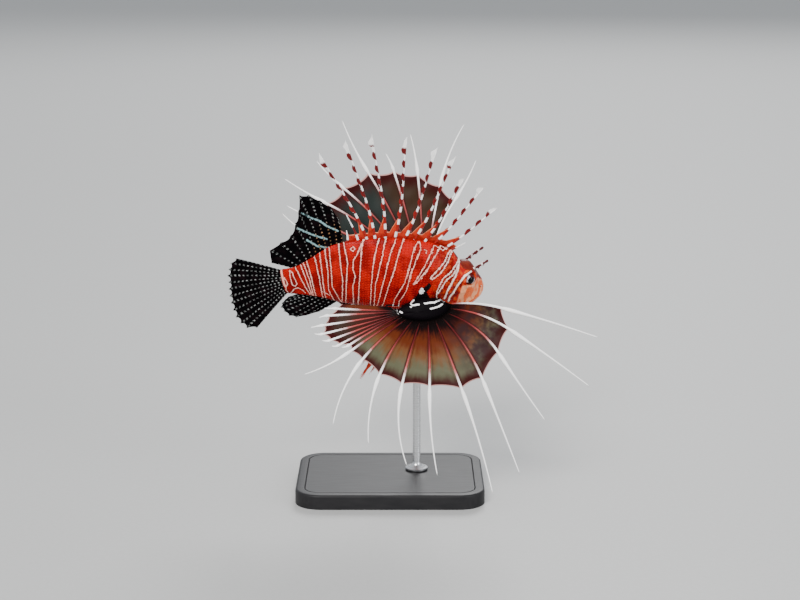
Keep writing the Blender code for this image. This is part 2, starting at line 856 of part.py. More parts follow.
def head_place(t, up, out=0.0):
    centre, forward, left, up_axis = backbone(t)
    return centre + (up_axis * up + left * out) * STANDARD_LENGTH


def jaw_wedge(grow):
    """A prism across the head: its upper face is the mouth line, its rear the jaw joint."""
    left = backbone(MOUTH_CORNER_T)[2]
    tip = head_place(0.0, MOUTH_TIP_UP)
    corner = head_place(MOUTH_CORNER_T, MOUTH_CORNER_UP)
    chin = head_place(JAW_REAR_T, JAW_REAR_UP)
    upper = (tip - corner).normalized()
    rise = left.cross(upper).normalized()
    if rise.z < 0:
        rise = -rise
    rear = (corner - chin).normalized()
    back = rear.cross(left).normalized()
    if back.x > 0:
        back = -back
    outline = (corner + rise * grow + back * grow, tip + upper * 8 * MM + rise * grow,
               tip + upper * 8 * MM - rise * 25 * MM, chin + back * grow - rise * 8 * MM)
    width = 0.12 * STANDARD_LENGTH
    return loft([[p - left * width for p in outline], [p + left * width for p in outline]])


def cutter_object(name, bm, parent=None):
    obj = add_object(name, bm, None, parent)
    obj.hide_render = True
    obj.display_type = "WIRE"
    return obj


def eye_centre(side):
    return head_place(EYE_T, EYE_UP, EYE_OUT * side)


def nostril_cutter(side):
    """A small pit in front of the eye."""
    angle = math.radians(NOSTRIL_ANGLE_DEG) * side
    mouth = body_point(NOSTRIL_T, angle)
    outward = (mouth - head_place(NOSTRIL_T, -0.02)).normalized()
    bm = bmesh.new()
    bmesh.ops.create_cone(bm, cap_ends=True, segments=8, radius1=NOSTRIL_RADIUS,
                          radius2=NOSTRIL_RADIUS, depth=3 * MM)
    turn = Vector((0, 0, 1)).rotation_difference(outward).to_matrix()
    bmesh.ops.rotate(bm, cent=(0, 0, 0), matrix=turn, verts=bm.verts)
    bmesh.ops.translate(bm, vec=mouth, verts=bm.verts)
    return cutter_object("nostril_cutter", bm)


def socket_cutter(side):
    bm = bmesh.new()
    bmesh.ops.create_uvsphere(bm, u_segments=18, v_segments=12,
                              radius=EYE_RADIUS * STANDARD_LENGTH + GAP)
    bmesh.ops.translate(bm, vec=eye_centre(side), verts=bm.verts)
    return cutter_object("socket_cutter", bm)


# The display stand
BASE_SIZE = (116 * MM, 92 * MM, 9 * MM)
BASE_CORNER = 16 * MM
BASE_EDGE = 1.5 * MM
ROD_RADIUS = 2.4 * MM
ROD_FOOT = 7.0 * MM
ROD_HEAD = 3.6 * MM
ROD_T = 0.325
ROD_SIDES = 20


def stand_base():
    """A rounded board whose underside is the origin plane."""
    bm = bmesh.new()
    bmesh.ops.create_cube(bm, size=1)
    bmesh.ops.scale(bm, vec=BASE_SIZE, verts=bm.verts)
    bmesh.ops.translate(bm, vec=(0, 0, BASE_SIZE[2] / 2), verts=bm.verts)
    upright = [e for e in bm.edges if abs(e.verts[0].co.z - e.verts[1].co.z) > MM]
    bmesh.ops.bevel(bm, geom=upright, offset=BASE_CORNER, segments=6, profile=0.5, affect="EDGES",
                    material=-1)
    rim = [e for e in bm.edges if min(v.co.z for v in e.verts) > BASE_SIZE[2] - 0.01 * MM]
    bmesh.ops.bevel(bm, geom=rim, offset=BASE_EDGE, segments=2, profile=0.5, affect="EDGES",
                    material=-1)
    return bm


def stand_rod(pose):
    """A turned rod with a foot, trimmed to the belly that it carries."""
    belly = pose @ body_point(ROD_T, math.radians(180 + BANK_DEG * 0.5))
    bottom = BASE_SIZE[2] + GAP
    top = belly.z + 6 * MM
    neck = belly.z - 7 * MM
    outline = ((0, bottom), (ROD_FOOT, bottom), (ROD_FOOT, bottom + 1.6 * MM),
               (ROD_RADIUS + 1.2 * MM, bottom + 2.6 * MM), (ROD_RADIUS, bottom + 4.5 * MM),
               (ROD_RADIUS, neck), (ROD_HEAD, belly.z - 1 * MM), (ROD_HEAD, top), (0, top))
    bm = bmesh.new()
    verts = [bm.verts.new((r, 0, z)) for r, z in outline]
    edges = [bm.edges.new(pair) for pair in zip(verts, verts[1:])]
    bmesh.ops.spin(bm, geom=verts + edges, cent=(0, 0, 0), axis=(0, 0, 1), dvec=(0, 0, 0),
                   angle=2 * math.pi, steps=ROD_SIDES, use_merge=True)
    bmesh.ops.remove_doubles(bm, verts=bm.verts, dist=0.001 * MM)
    bmesh.ops.translate(bm, vec=(belly.x, belly.y, 0), verts=bm.verts)
    return bm


def build():
    for obj in list(bpy.data.objects):
        bpy.data.objects.remove(obj)

    skin = new_material("red_skin", (0.52, 0.075, 0.035), 0.45)
    eye_finish = new_material("eye", (0.03, 0.02, 0.02), 0.08)
    fin_red = new_material("spiny_fin", (0.30, 0.03, 0.03), 0.45)
    fin_dark = new_material("dark_fin", (0.10, 0.05, 0.05), 0.45)
    fin_web = new_material("pectoral_fin", (0.45, 0.36, 0.30), 0.40)
    stand_finish = new_material("stand_board", (0.02, 0.02, 0.022), 0.35)
    rod_finish = new_material("stand_steel", (0.55, 0.55, 0.56), 0.30, 1.0)

    pose = bpy.data.objects.new("fish_pose", None)
    bpy.context.scene.collection.objects.link(pose)
    pose.location = (0, 0, FISH_HEIGHT)
    pose.rotation_euler = (math.radians(BANK_DEG), 0, 0)

    half_gap = GAP / 2 / STANDARD_LENGTH
    head = add_object("head", slab_between(None, HEAD_END - half_gap), skin, pose)
    jaw = copy_of(head, "jaw")
    boolean(jaw, cutter_object("jaw_cutter", jaw_wedge(0), pose), "INTERSECT")
    boolean(head, cutter_object("jaw_cutter", jaw_wedge(GAP), pose), "DIFFERENCE")
    add_object("trunk", slab_between(HEAD_END + half_gap, TAIL_START - half_gap), skin, pose)
    add_object("tail_stem", slab_between(TAIL_START + half_gap, TAIL_END), skin, pose)
    add_object("dorsal_spines", dorsal_spines(), fin_red, pose)
    add_object("caudal_fin", caudal_fin(), fin_dark, pose)
    for name, t_range, rays, side in (("soft_dorsal_fin", SOFT_DORSAL_T, SOFT_DORSAL_RAYS, 1),
                                      ("anal_fin", ANAL_T, ANAL_RAYS, -1)):
        fin = add_object(name, middle_fin(t_range, rays, side, SOFT_RAY_WIDTH), fin_dark, pose)
        boolean(fin, body_cutter(pose), "DIFFERENCE")
    for name, side in (("left", 1), ("right", -1)):
        for cutter in (socket_cutter(side), nostril_cutter(side)):
            cutter.parent = pose
            boolean(head, cutter, "DIFFERENCE")
        sphere_object("eye_" + name, eye_centre(side), EYE_RADIUS * STANDARD_LENGTH, 16,
                      eye_finish, pose)
        feeler = add_object("tentacle_" + name, tentacle(side), fin_red, pose)
        boolean(feeler, body_cutter(pose), "DIFFERENCE")
        base = add_object("pectoral_base_" + name, pectoral_base(side), fin_dark, pose)
        boolean(base, body_cutter(pose), "DIFFERENCE")
        add_object("pectoral_" + name, pectoral_fin(side), fin_web, pose)
        pelvic = add_object("pelvic_" + name, pelvic_fin(side), fin_dark, pose)
        boolean(pelvic, body_cutter(pose), "DIFFERENCE")
    add_object("stand_base", stand_base(), stand_finish)
    bpy.context.view_layer.update()
    rod = add_object("stand_rod", stand_rod(pose.matrix_world), rod_finish)
    boolean(rod, body_cutter(pose), "DIFFERENCE")


build()
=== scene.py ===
# %% [markdown]
# # A spotfin lionfish, hovering on its stand
# This lesson gives a museum model of a lionfish its looks. The solids are already packed: a body
# in four pieces, eyes, feelers, eight fins and a stand. They fix every place and size.
# The looks are made in this order: one skin with its markings, the scales, the eyes, the head's
# small parts, the fins, and the stand. Each piece is a mesh of its own that rides on the frame.

# %% Tools and the frame
import math

import bmesh
import bpy
import numpy as np
from mathutils import Matrix, Vector, noise
from mathutils.bvhtree import BVHTree


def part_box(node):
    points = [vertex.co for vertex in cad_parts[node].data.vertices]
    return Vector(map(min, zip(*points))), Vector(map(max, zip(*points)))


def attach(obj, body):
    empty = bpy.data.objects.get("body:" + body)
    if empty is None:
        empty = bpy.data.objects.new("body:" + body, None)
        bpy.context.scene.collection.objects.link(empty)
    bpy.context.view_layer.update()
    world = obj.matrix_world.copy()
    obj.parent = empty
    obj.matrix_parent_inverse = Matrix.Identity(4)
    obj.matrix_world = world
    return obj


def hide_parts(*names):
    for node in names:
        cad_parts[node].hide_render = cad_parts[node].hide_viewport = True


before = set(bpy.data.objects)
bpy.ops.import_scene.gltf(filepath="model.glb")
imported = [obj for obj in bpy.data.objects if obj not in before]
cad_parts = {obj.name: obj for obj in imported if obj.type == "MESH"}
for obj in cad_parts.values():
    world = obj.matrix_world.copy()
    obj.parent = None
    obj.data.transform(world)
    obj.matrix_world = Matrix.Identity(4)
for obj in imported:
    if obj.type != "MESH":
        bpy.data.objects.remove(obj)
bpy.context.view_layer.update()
MM = 0.001
ROOT = "root"
print("solids:", len(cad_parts))

# %% [markdown]
# ## Smooth curves through a few numbers
# A fish has no straight lines, so its outline is kept as a few heights at a few stations, and a
# smooth curve runs through them. A spline object would do too, but a plain function can be
# asked for any point, which the skin, the scales and the markings all need.

# %% Smooth tables and soft steps
def smooth_table(stations, values):
    """A smooth function through a short table, with level ends past it."""
    slopes = []
    for i in range(len(stations)):
        a = max(i - 1, 0)
        b = min(i + 1, len(stations) - 1)
        slopes.append((values[b] - values[a]) / (stations[b] - stations[a]))

    def value(x):
        if x <= stations[0]:
            return values[0]
        if x >= stations[-1]:
            return values[-1]
        i = max(k for k in range(len(stations) - 1) if stations[k] <= x)
        span = stations[i + 1] - stations[i]
        s = (x - stations[i]) / span
        start = (2 * s**3 - 3 * s**2 + 1) * values[i] + (s**3 - 2 * s**2 + s) * span * slopes[i]
        end = (3 * s**2 - 2 * s**3) * values[i + 1] + (s**3 - s**2) * span * slopes[i + 1]
        return start + end

    return value


def root_table(stations, values):
    """The same against the square root of the station, which rounds the nose."""
    table = smooth_table([math.sqrt(s) for s in stations], values)
    return lambda t: table(math.sqrt(max(t, 0.0)))


def between(a, b, s):
    return a + (b - a) * s


def near(x, width):
    """A soft bump of the given width round zero."""
    return math.exp(-(x / width) ** 2)


def step_up(x):
    """A smooth step from 0 to 1."""
    x = min(max(x, 0.0), 1.0)
    return x * x * (3 - 2 * x)


# %% [markdown]
# ## The course of the body
# The body is measured along its backbone, from the snout at station 0 to the root of the tail
# fin at station 1. Each section is an oval that is narrower at the back. These are the same
# driving sizes as the solids have, so the skin lands where they are.

# %% Sizes of the body
STANDARD_LENGTH = 135 * MM
BANK_DEG = 21
FISH_HEIGHT = 137 * MM
BEND_T = (0.0, 0.15, 0.30, 0.45, 0.60, 0.80, 1.0)
PITCH_DEG = (23, 26, 20, 8, 0, -8, -11)
YAW_DEG = (34, 30, 16, 4, 0, 0, -4)
BODY_T = (0, .012, .03, .06, .10, .15, .20, .27, .35, .45, .55, .65, .75, .85, .93, 1.0)
BODY_TOP = (.001, .019, .039, .060, .087, .116, .114, .160, .180, .188, .184, .172, .150, .096,
            .063, .060)
BODY_BOTTOM = (.001, -.058, -.082, -.103, -.119, -.130, -.140, -.158, -.175, -.183, -.186, -.171,
               -.149, -.108, -.083, -.067)
BODY_HALF_WIDTH = (0, .018, .030, .044, .058, .072, .082, .096, .100, .094, .082, .066, .047, .030,
                   .020, .012)
BACK_NARROWING = 0.30
BACKBONE_STEPS = 100

pitch_at = smooth_table(BEND_T, PITCH_DEG)
yaw_at = smooth_table(BEND_T, YAW_DEG)
top_at = root_table(BODY_T, BODY_TOP)
bottom_at = root_table(BODY_T, BODY_BOTTOM)
half_width_at = root_table(BODY_T, BODY_HALF_WIDTH)
pose = Matrix.Translation((0, 0, FISH_HEIGHT)) @ Matrix.Rotation(math.radians(BANK_DEG), 4, "X")


# %% The backbone
def heading(t):
    """Direction of the backbone towards the snout."""
    pitch = math.radians(pitch_at(t))
    yaw = math.radians(yaw_at(t))
    return Vector((math.cos(pitch) * math.cos(yaw), math.cos(pitch) * math.sin(yaw),
                   -math.sin(pitch)))


def backbone_points():
    """The backbone from snout to tail base, set so that its middle is the origin."""
    step = 1 / BACKBONE_STEPS
    points = [Vector()]
    for i in range(BACKBONE_STEPS):
        points.append(points[-1] - heading((i + 0.5) * step) * step * STANDARD_LENGTH)
    middle = points[BACKBONE_STEPS // 2].copy()
    return [p - middle for p in points]


BACKBONE = backbone_points()
stations_met = {}


def backbone(t):
    """Place and frame at a station: centre, forward, left, up."""
    if t not in stations_met:
        x = min(max(t, 0.0), 0.9999) * BACKBONE_STEPS
        i = int(x)
        forward = heading(t)
        left = Vector((0, 0, 1)).cross(forward).normalized()
        centre = BACKBONE[i].lerp(BACKBONE[i + 1], x - i)
        sizes = (top_at(t), bottom_at(t), half_width_at(t))
        stations_met[t] = (centre, forward, left, forward.cross(left), sizes)
    return stations_met[t]


def head_place(t, up, out=0.0):
    """A point of the fish, at a height and a side step from the backbone."""
    centre, forward, left, up_axis = backbone(t)[:4]
    return centre + (up_axis * up + left * out) * STANDARD_LENGTH


length = sum((a - b).length for a, b in zip(BACKBONE, BACKBONE[1:]))
print("backbone:", round(length / MM, 1), "mm")

# %% [markdown]
# ## The forms of the head
# A lionfish's head is all bumps: brows over the eyes, thick lips, a gill cover that ends in a
# free edge, and bony ridges across the cheek. Sculpting by hand would give these too. Here each
# is a soft bump added to the oval, so that it stays in place when a size changes.

# %% Sizes of the head
EYE_T = 0.1525
EYE_UP = 0.047
EYE_OUT = 0.048
EYE_RADIUS = 0.030
ORBIT_SWELL = 0.018
ORBIT_REACH = 0.045
BROW_RISE = 0.012
MOUTH_CORNER_T = 0.105
MOUTH_TIP_UP = -0.022
MOUTH_CORNER_UP = -0.066
LIP_SWELL = 0.005
LIP_REACH = 0.017
NOSTRIL_T = 0.068
NOSTRIL_ANGLE = math.radians(42)
GILL_T = 0.345
GILL_BULGE = 0.030
GILL_SWELL = 0.007
GILL_EDGE = 0.005
SCALE_DEPTH = 0.12 * MM
EYE_SINK = 2.4
LID_RISE = 0.55
LID_WIDTH = 0.75
MOUTH_DEPTH = 1.0
MOUTH_WIDTH = 0.42
RIDGES = (
    ((0.105, 0.000), (0.160, -0.012), (0.245, -0.020)),
    ((0.215, 0.050), (0.262, -0.010), (0.262, -0.070), (0.225, -0.115)),
    ((0.050, 0.035), (0.090, 0.062), (0.125, 0.086)),
    ((0.185, 0.082), (0.225, 0.090), (0.270, 0.092)),
    ((0.030, -0.034), (0.080, -0.048), (0.122, -0.064), (0.126, -0.090)),
)
RIDGE_RISE = 0.34
RIDGE_WIDTH = 0.95


# %% The relief of the head
def mouth_line(t):
    """Height of the mouth line, in standard lengths."""
    s = min(t / MOUTH_CORNER_T, 1.0)
    return MOUTH_TIP_UP + (MOUTH_CORNER_UP - MOUTH_TIP_UP) * s


def gill_edge(angle):
    """Station of the rear edge of the gill cover, at an angle round the body."""
    return GILL_T + GILL_BULGE * math.sin(angle) ** 2 * (1 - 0.4 * math.cos(angle))


def broad_relief(t, angle, out, up):
    """How far the head stands proud of its plain outline, in standard lengths."""
    distance = math.hypot(t - EYE_T, up - EYE_UP - BROW_RISE)
    swell = ORBIT_SWELL * near(distance, ORBIT_REACH) * step_up(out / 0.03)
    if t < MOUTH_CORNER_T + 0.02:
        fade = 1 - step_up((t - MOUTH_CORNER_T) / 0.02)
        swell += LIP_SWELL * near(up - mouth_line(t), LIP_REACH) * fade * step_up(t / 0.008)
    cover = 1 - step_up((t - gill_edge(angle)) / GILL_EDGE)
    swell += GILL_SWELL * step_up((t - 0.20) / 0.12) * math.sin(angle) ** 2 * cover
    return swell


def away_from(t, up, line):
    """Distance from a line of (station, height) points, in mm, and the share along it."""
    x = Vector((t, up))
    best = (1e9, 0)
    for k, (a, b) in enumerate(zip(line, line[1:])):
        a = Vector(a)
        run = Vector(b) - a
        s = min(max((x - a).dot(run) / run.dot(run), 0), 1)
        best = min(best, ((x - a - run * s).length * STANDARD_LENGTH / MM, (k + s) / (len(line) - 1)))
    return best


def fine_relief(t, angle, up):
    """The head's small forms, in mm: eyelid, mouth, nostril and ridges."""
    if t > 0.30:
        return 0.0
    rise = 0.0
    eye = math.hypot(t - EYE_T, up - EYE_UP) * STANDARD_LENGTH / MM
    ball = EYE_RADIUS * STANDARD_LENGTH / MM
    if abs(math.sin(angle)) > 0.2:
        rise -= EYE_SINK * (1 - step_up((eye - ball * 0.70) / (ball * 0.28)))
        rise += LID_RISE * near(eye - ball * 1.08, LID_WIDTH)
    if t < MOUTH_CORNER_T + 0.02:
        fade = 1 - step_up((t - MOUTH_CORNER_T) / 0.012)
        gap = (up - mouth_line(t)) * STANDARD_LENGTH / MM
        rise -= MOUTH_DEPTH * near(gap, MOUTH_WIDTH) * fade * step_up(t / 0.004)
    if t < 0.13:
        from_pit = math.hypot((t - NOSTRIL_T) * STANDARD_LENGTH, (abs(angle) - NOSTRIL_ANGLE) * 8 * MM)
        rise += 0.45 * near(from_pit / MM - 1.0, 0.40) - 0.9 * near(from_pit / MM, 0.60)
    clear = step_up((eye - ball * 1.1) / 1.5)
    for line in RIDGES:
        distance, share = away_from(t, up, line)
        if distance < 4:
            knobs = 0.75 + 0.25 * math.sin(share * 19)
            rise += RIDGE_RISE * near(distance, RIDGE_WIDTH) * clear * knobs
    return rise * abs(math.sin(angle)) ** 0.5


def skin_place(t, angle, lift=0.0):
    """A point of the skin in the row frame: angle 0 is the back, 90 degrees the left side."""
    centre, forward, left, up_axis, (top, bottom, half_width) = backbone(t)
    cos = math.cos(angle)
    sin = math.sin(angle)
    out = half_width * (1 - BACK_NARROWING * max(cos, 0) ** 2) * abs(sin)
    up = (top + bottom) / 2 + (top - bottom) / 2 * cos
    fine = (fine_relief(t, angle, up) * MM - SCALE_DEPTH + lift) / STANDARD_LENGTH
    swell = broad_relief(t, angle, out, up) + fine * min(t / 0.01, 1)
    side = 1 if sin >= 0 else -1
    place = left * (out + swell * abs(sin)) * side + up_axis * (up + swell * cos)
    return pose @ (centre + place * STANDARD_LENGTH)


print("nose at", [round(c / MM, 1) for c in skin_place(0.0, 0.0)], "mm")

# %% [markdown]
# ## Helpers for making a piece
# Most parts of a fin are a sheet or a tube, and both start as Blender's own grid of cells: its
# corners are moved to where the form is. A grid that is rolled up becomes a tube. While a
# corner is moved, numbers such as the distance along a ray are kept with it, as marks that the
# finishes read later.

# %% Grids and pieces
MERGE = 0.002 * MM


def blank(*marks):
    """An empty mesh in the making, with a layer of numbers for each mark."""
    bm = bmesh.new()
    for mark in marks:
        bm.verts.layers.float.new(mark)
    return bm


def spread(bm, columns, rows, place, **marks):
    """Adds a grid of cells, moves each corner to place(u, v), and keeps the marks with it."""
    corners = bmesh.ops.create_grid(bm, x_segments=columns, y_segments=rows, size=1)["verts"]
    for corner in corners:
        u = min(max((corner.co.x + 1) / 2, 0), 1)
        v = min(max((corner.co.y + 1) / 2, 0), 1)
        corner.co = place(u, v)
        for mark, value in marks.items():
            corner[bm.verts.layers.float[mark]] = value(u, v)
    return corners


def roll(bm, columns, sides, path, across, half_width, half_height, **marks):
    """Rolls a grid into a closed tube along path(u), which lies in the direction across(u)."""
    def place(u, v):
        ahead = (path(min(u + 0.01, 1)) - path(max(u - 0.01, 0))).normalized()
        side = across(u)
        side = (side - ahead * side.dot(ahead)).normalized()
        turn = 2 * math.pi * v
        open_up = min(u * columns, (1 - u) * columns, 1)
        return (path(u) + side * math.cos(turn) * half_width(u) * open_up
                + ahead.cross(side) * math.sin(turn) * half_height(u) * open_up)

    return spread(bm, columns, sides, place, **marks)


def piece(name, bm, finish, slot, *nodes):
    """Closes a mesh in the making, faces it outwards and puts it on the model."""
    bmesh.ops.remove_doubles(bm, verts=bm.verts, dist=MERGE)
    bm.normal_update()
    bmesh.ops.recalc_face_normals(bm, faces=bm.faces)
    mesh = bpy.data.meshes.new(name)
    bm.to_mesh(mesh)
    bm.free()
    return mount(name, mesh, finish, slot, *nodes)


def mount(name, mesh, finish, slot, *nodes):
    """Puts a finished mesh on the model, in place of the named solids."""
    mesh.shade_smooth()
    mesh.materials.append(finish.material)
    made = bpy.data.objects.new(name, mesh)
    bpy.context.scene.collection.objects.link(made)
    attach(made, ROOT)
    if nodes:
        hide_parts(*nodes)
    print(name, len(mesh.polygons), "faces")
    return made


# %% [markdown]
# ## Helpers for making a finish
# A finish is worked out by shader nodes. Wiring dozens of nodes by hand hides the sum that they
# do, so a small class stands for a socket and lets the sum be written as one.

# %% Terms and finishes
class Term:
    """A socket in a sum: each operator adds a Math node."""

    def __init__(self, finish, socket):
        self.finish = finish
        self.socket = socket

    def math(self, operation, *others):
        inputs = dict(enumerate((self, *others)))
        return self.finish.add("Math", {"operation": operation}, inputs)

    def __add__(self, other):
        return self.math("ADD", other)

    def __sub__(self, other):
        return self.math("SUBTRACT", other)

    def __mul__(self, other):
        return self.math("MULTIPLY", other)

    def __truediv__(self, other):
        return self.math("DIVIDE", other)

    def __pow__(self, other):
        return self.math("POWER", other)

    def __rsub__(self, other):
        return self * -1 + other

    __radd__ = __add__
    __rmul__ = __mul__

    def size(self):
        return self.math("ABSOLUTE")

    def rise(self, low, high):
        """A smooth step from 0 at low to 1 at high."""
        settings = {"interpolation_type": "SMOOTHSTEP"}
        if low < high:
            return self.finish.add("MapRange", settings, {0: self, 1: low, 2: high, 3: 0.0, 4: 1.0})
        return self.finish.add("MapRange", settings, {0: self, 1: high, 2: low, 3: 1.0, 4: 0.0})


class Finish:
    """A material in the making."""

    def __init__(self, name, **constants):
        self.material = bpy.data.materials.new(name)
        self.material.use_nodes = True
        self.tree = self.material.node_tree
        self.shader = self.tree.nodes["Principled BSDF"]
        for socket, value in constants.items():
            self.set(socket.replace("_", " "), value)
        self.here = self.add("TexCoord", output="Object")

    def put(self, socket, value):
        """Links a term to a socket, or sets a number or a colour on it."""
        if isinstance(value, Term):
            self.tree.links.new(value.socket, socket)
        elif isinstance(value, tuple) and len(value) == 3 and socket.type == "RGBA":
            socket.default_value = (*value, 1)
        else:
            socket.default_value = value

    def add(self, kind, settings=None, inputs=None, output=0):
        """Adds one node: its settings first, then its sockets."""
        node = self.tree.nodes.new("ShaderNode" + kind)
        for name, value in (settings or {}).items():
            setattr(node, name, value)
        for name, value in (inputs or {}).items():
            self.put(node.inputs[name], value)
        return Term(self, node.outputs[output])

    def set(self, name, value):
        self.put(self.shader.inputs[name], value)

    def mark(self, name):
        return self.add("Attribute", {"attribute_name": name}, output="Fac")

    def noise(self, size, detail=2.0, rough=0.5, output=0):
        inputs = {"Vector": self.here, "Scale": 1 / size, "Detail": detail, "Roughness": rough}
        return self.add("TexNoise", {}, inputs, output)

    def blend(self, share, a, b):
        """Colour a at share 0, colour b at share 1."""
        return self.add("Mix", {"data_type": "RGBA"}, {0: share, 6: a, 7: b}, 2)

    def bump(self, height, distance, strength=1.0):
        inputs = {"Height": height, "Distance": distance, "Strength": strength}
        self.set("Normal", self.add("Bump", {}, inputs, "Normal"))


# %% [markdown]
# ## The camera
# The camera comes before the markings, because the white lines were read off the photograph in
# its own pixels. With the camera known, each reading can be sent out as a line of sight until
# it meets the skin, and from there on the marking belongs to the fish and shows from any side.

# %% The camera and its lines of sight
PIXEL = 0.6136 * MM
LENS = 85
SENSOR = 36
ELEVATION = math.radians(12)
VIEW_WIDTH = 800
VIEW_HEIGHT = 600
AIM_RIGHT = 10
AIM_DOWN = 27

eye_up = Vector((0, math.sin(ELEVATION), math.cos(ELEVATION)))
eye_back = Vector((0, -math.cos(ELEVATION), math.sin(ELEVATION)))
eye_distance = VIEW_WIDTH * PIXEL * LENS / SENSOR
middle = Vector((0, 0, FISH_HEIGHT))
target = middle + Vector((1, 0, 0)) * AIM_RIGHT * PIXEL - eye_up * AIM_DOWN * PIXEL
eye_place = target + eye_back * eye_distance

camera_data = bpy.data.cameras.new("camera")
camera_data.lens = LENS
camera_data.sensor_width = SENSOR
camera_data.clip_end = 100
camera = bpy.data.objects.new("camera", camera_data)
bpy.context.scene.collection.objects.link(camera)
camera.location = eye_place
camera.rotation_euler = (-eye_back).to_track_quat("-Z", "Y").to_euler()
bpy.context.scene.camera = camera


def sight(x, y):
    """Direction of the line of sight through a pixel of the photograph."""
    across = Vector((1, 0, 0)) * (x - VIEW_WIDTH / 2) * PIXEL
    return (across - eye_up * (y - VIEW_HEIGHT / 2) * PIXEL - eye_back * eye_distance).normalized()


def pixel_of(place):
    """Where a point of the model shows in the photograph."""
    step = place - eye_place
    scale = VIEW_WIDTH * LENS / SENSOR / -step.dot(eye_back)
    return VIEW_WIDTH / 2 + step.x * scale, VIEW_HEIGHT / 2 - step.dot(eye_up) * scale


print("camera", round(eye_distance, 3), "m away; origin at", [round(c) for c in pixel_of(middle)])

# %% [markdown]
# ## The skin
# One skin covers head, jaw, trunk and tail stem, so no seam shows where the solids are split. A
# sphere has the right layout for it, with one pole at the snout and one at the tail: its rings
# are drawn along the backbone and take the body's outline.

# %% The skin's mesh
SKIN_SIDES = 168
SKIN_RINGS = 280
SKIN_END = 0.999
NOSE_RINGS = 0.12
ROUNDED_END = 0.012


def ring_station(w):
    """Spreads the rings, closest on the snout."""
    return SKIN_END * (1 + NOSE_RINGS) * w * w / (w + NOSE_RINGS)


skin_bm = blank("station", "turn")
bmesh.ops.create_uvsphere(skin_bm, u_segments=SKIN_SIDES, v_segments=SKIN_RINGS, radius=1)
station_layer = skin_bm.verts.layers.float["station"]
turn_layer = skin_bm.verts.layers.float["turn"]
for vert in skin_bm.verts:
    w = math.acos(min(max(vert.co.z, -1), 1)) / math.pi
    t = ring_station(round(w * SKIN_RINGS) / SKIN_RINGS)
    angle = math.atan2(vert.co.y, vert.co.x)
    vert[station_layer] = t
    vert[turn_layer] = angle
    vert.co = skin_place(t, angle)
    past = (t - SKIN_END + ROUNDED_END) / ROUNDED_END
    if past > 0:
        rim = pose @ backbone(t)[0]
        vert.co = rim.lerp(vert.co, math.sqrt(max(1 - past * past, 0)))
skin_bm.normal_update()
bmesh.ops.recalc_face_normals(skin_bm, faces=skin_bm.faces)
skin_bm.faces.ensure_lookup_table()
skin_tree = BVHTree.FromBMesh(skin_bm)
print("skin:", len(skin_bm.faces), "faces, volume", round(skin_bm.calc_volume() * 1e6), "ml")

# %% [markdown]
# ## A chart of the skin
# Distances between markings are measured on a flat chart of one side of the fish: mm along the
# backbone, and mm round the section from the middle of the flank. Both sides of the fish carry
# the same markings, as a real one nearly does.

# %% The chart
def chart(t, angle):
    """The place of a skin point on the flat chart, in mm."""
    top, bottom = backbone(t)[4][:2]
    half_height = (top - bottom) / 2 * STANDARD_LENGTH / MM
    return t * STANDARD_LENGTH / MM, (abs(angle) - math.pi / 2) * half_height


def on_skin(x, y):
    """The place on the chart of what shows at a pixel. Just off the body, the nearest place."""
    found, normal, index, distance = skin_tree.ray_cast(eye_place, sight(x, y))
    if found is None:
        passing = eye_place + sight(x, y) * eye_distance
        found, normal, index, distance = skin_tree.find_nearest(passing)
    weights = 0
    place = Vector((0, 0))
    for vert in skin_bm.faces[index].verts:
        weight = 1 / ((vert.co - found).length + 0.01 * MM)
        place += Vector(chart(vert[station_layer], vert[turn_layer])) * weight
        weights += weight
    return place / weights


def traced(line):
    """A line of pixels, as a line on the chart."""
    return [on_skin(x, y) for x, y in line]


print("eye on the chart:", [round(c, 1) for c in on_skin(468, 285)])

# %% [markdown]
# ## The markings
# The fish is red, with bars that are outlined by thin white lines. Each bar is kept as its rear
# line and its front line, from the back down, in pixels of the photograph. Where a bar runs on
# past the belly or the back, its lines are drawn out straight, past the edge of the chart.

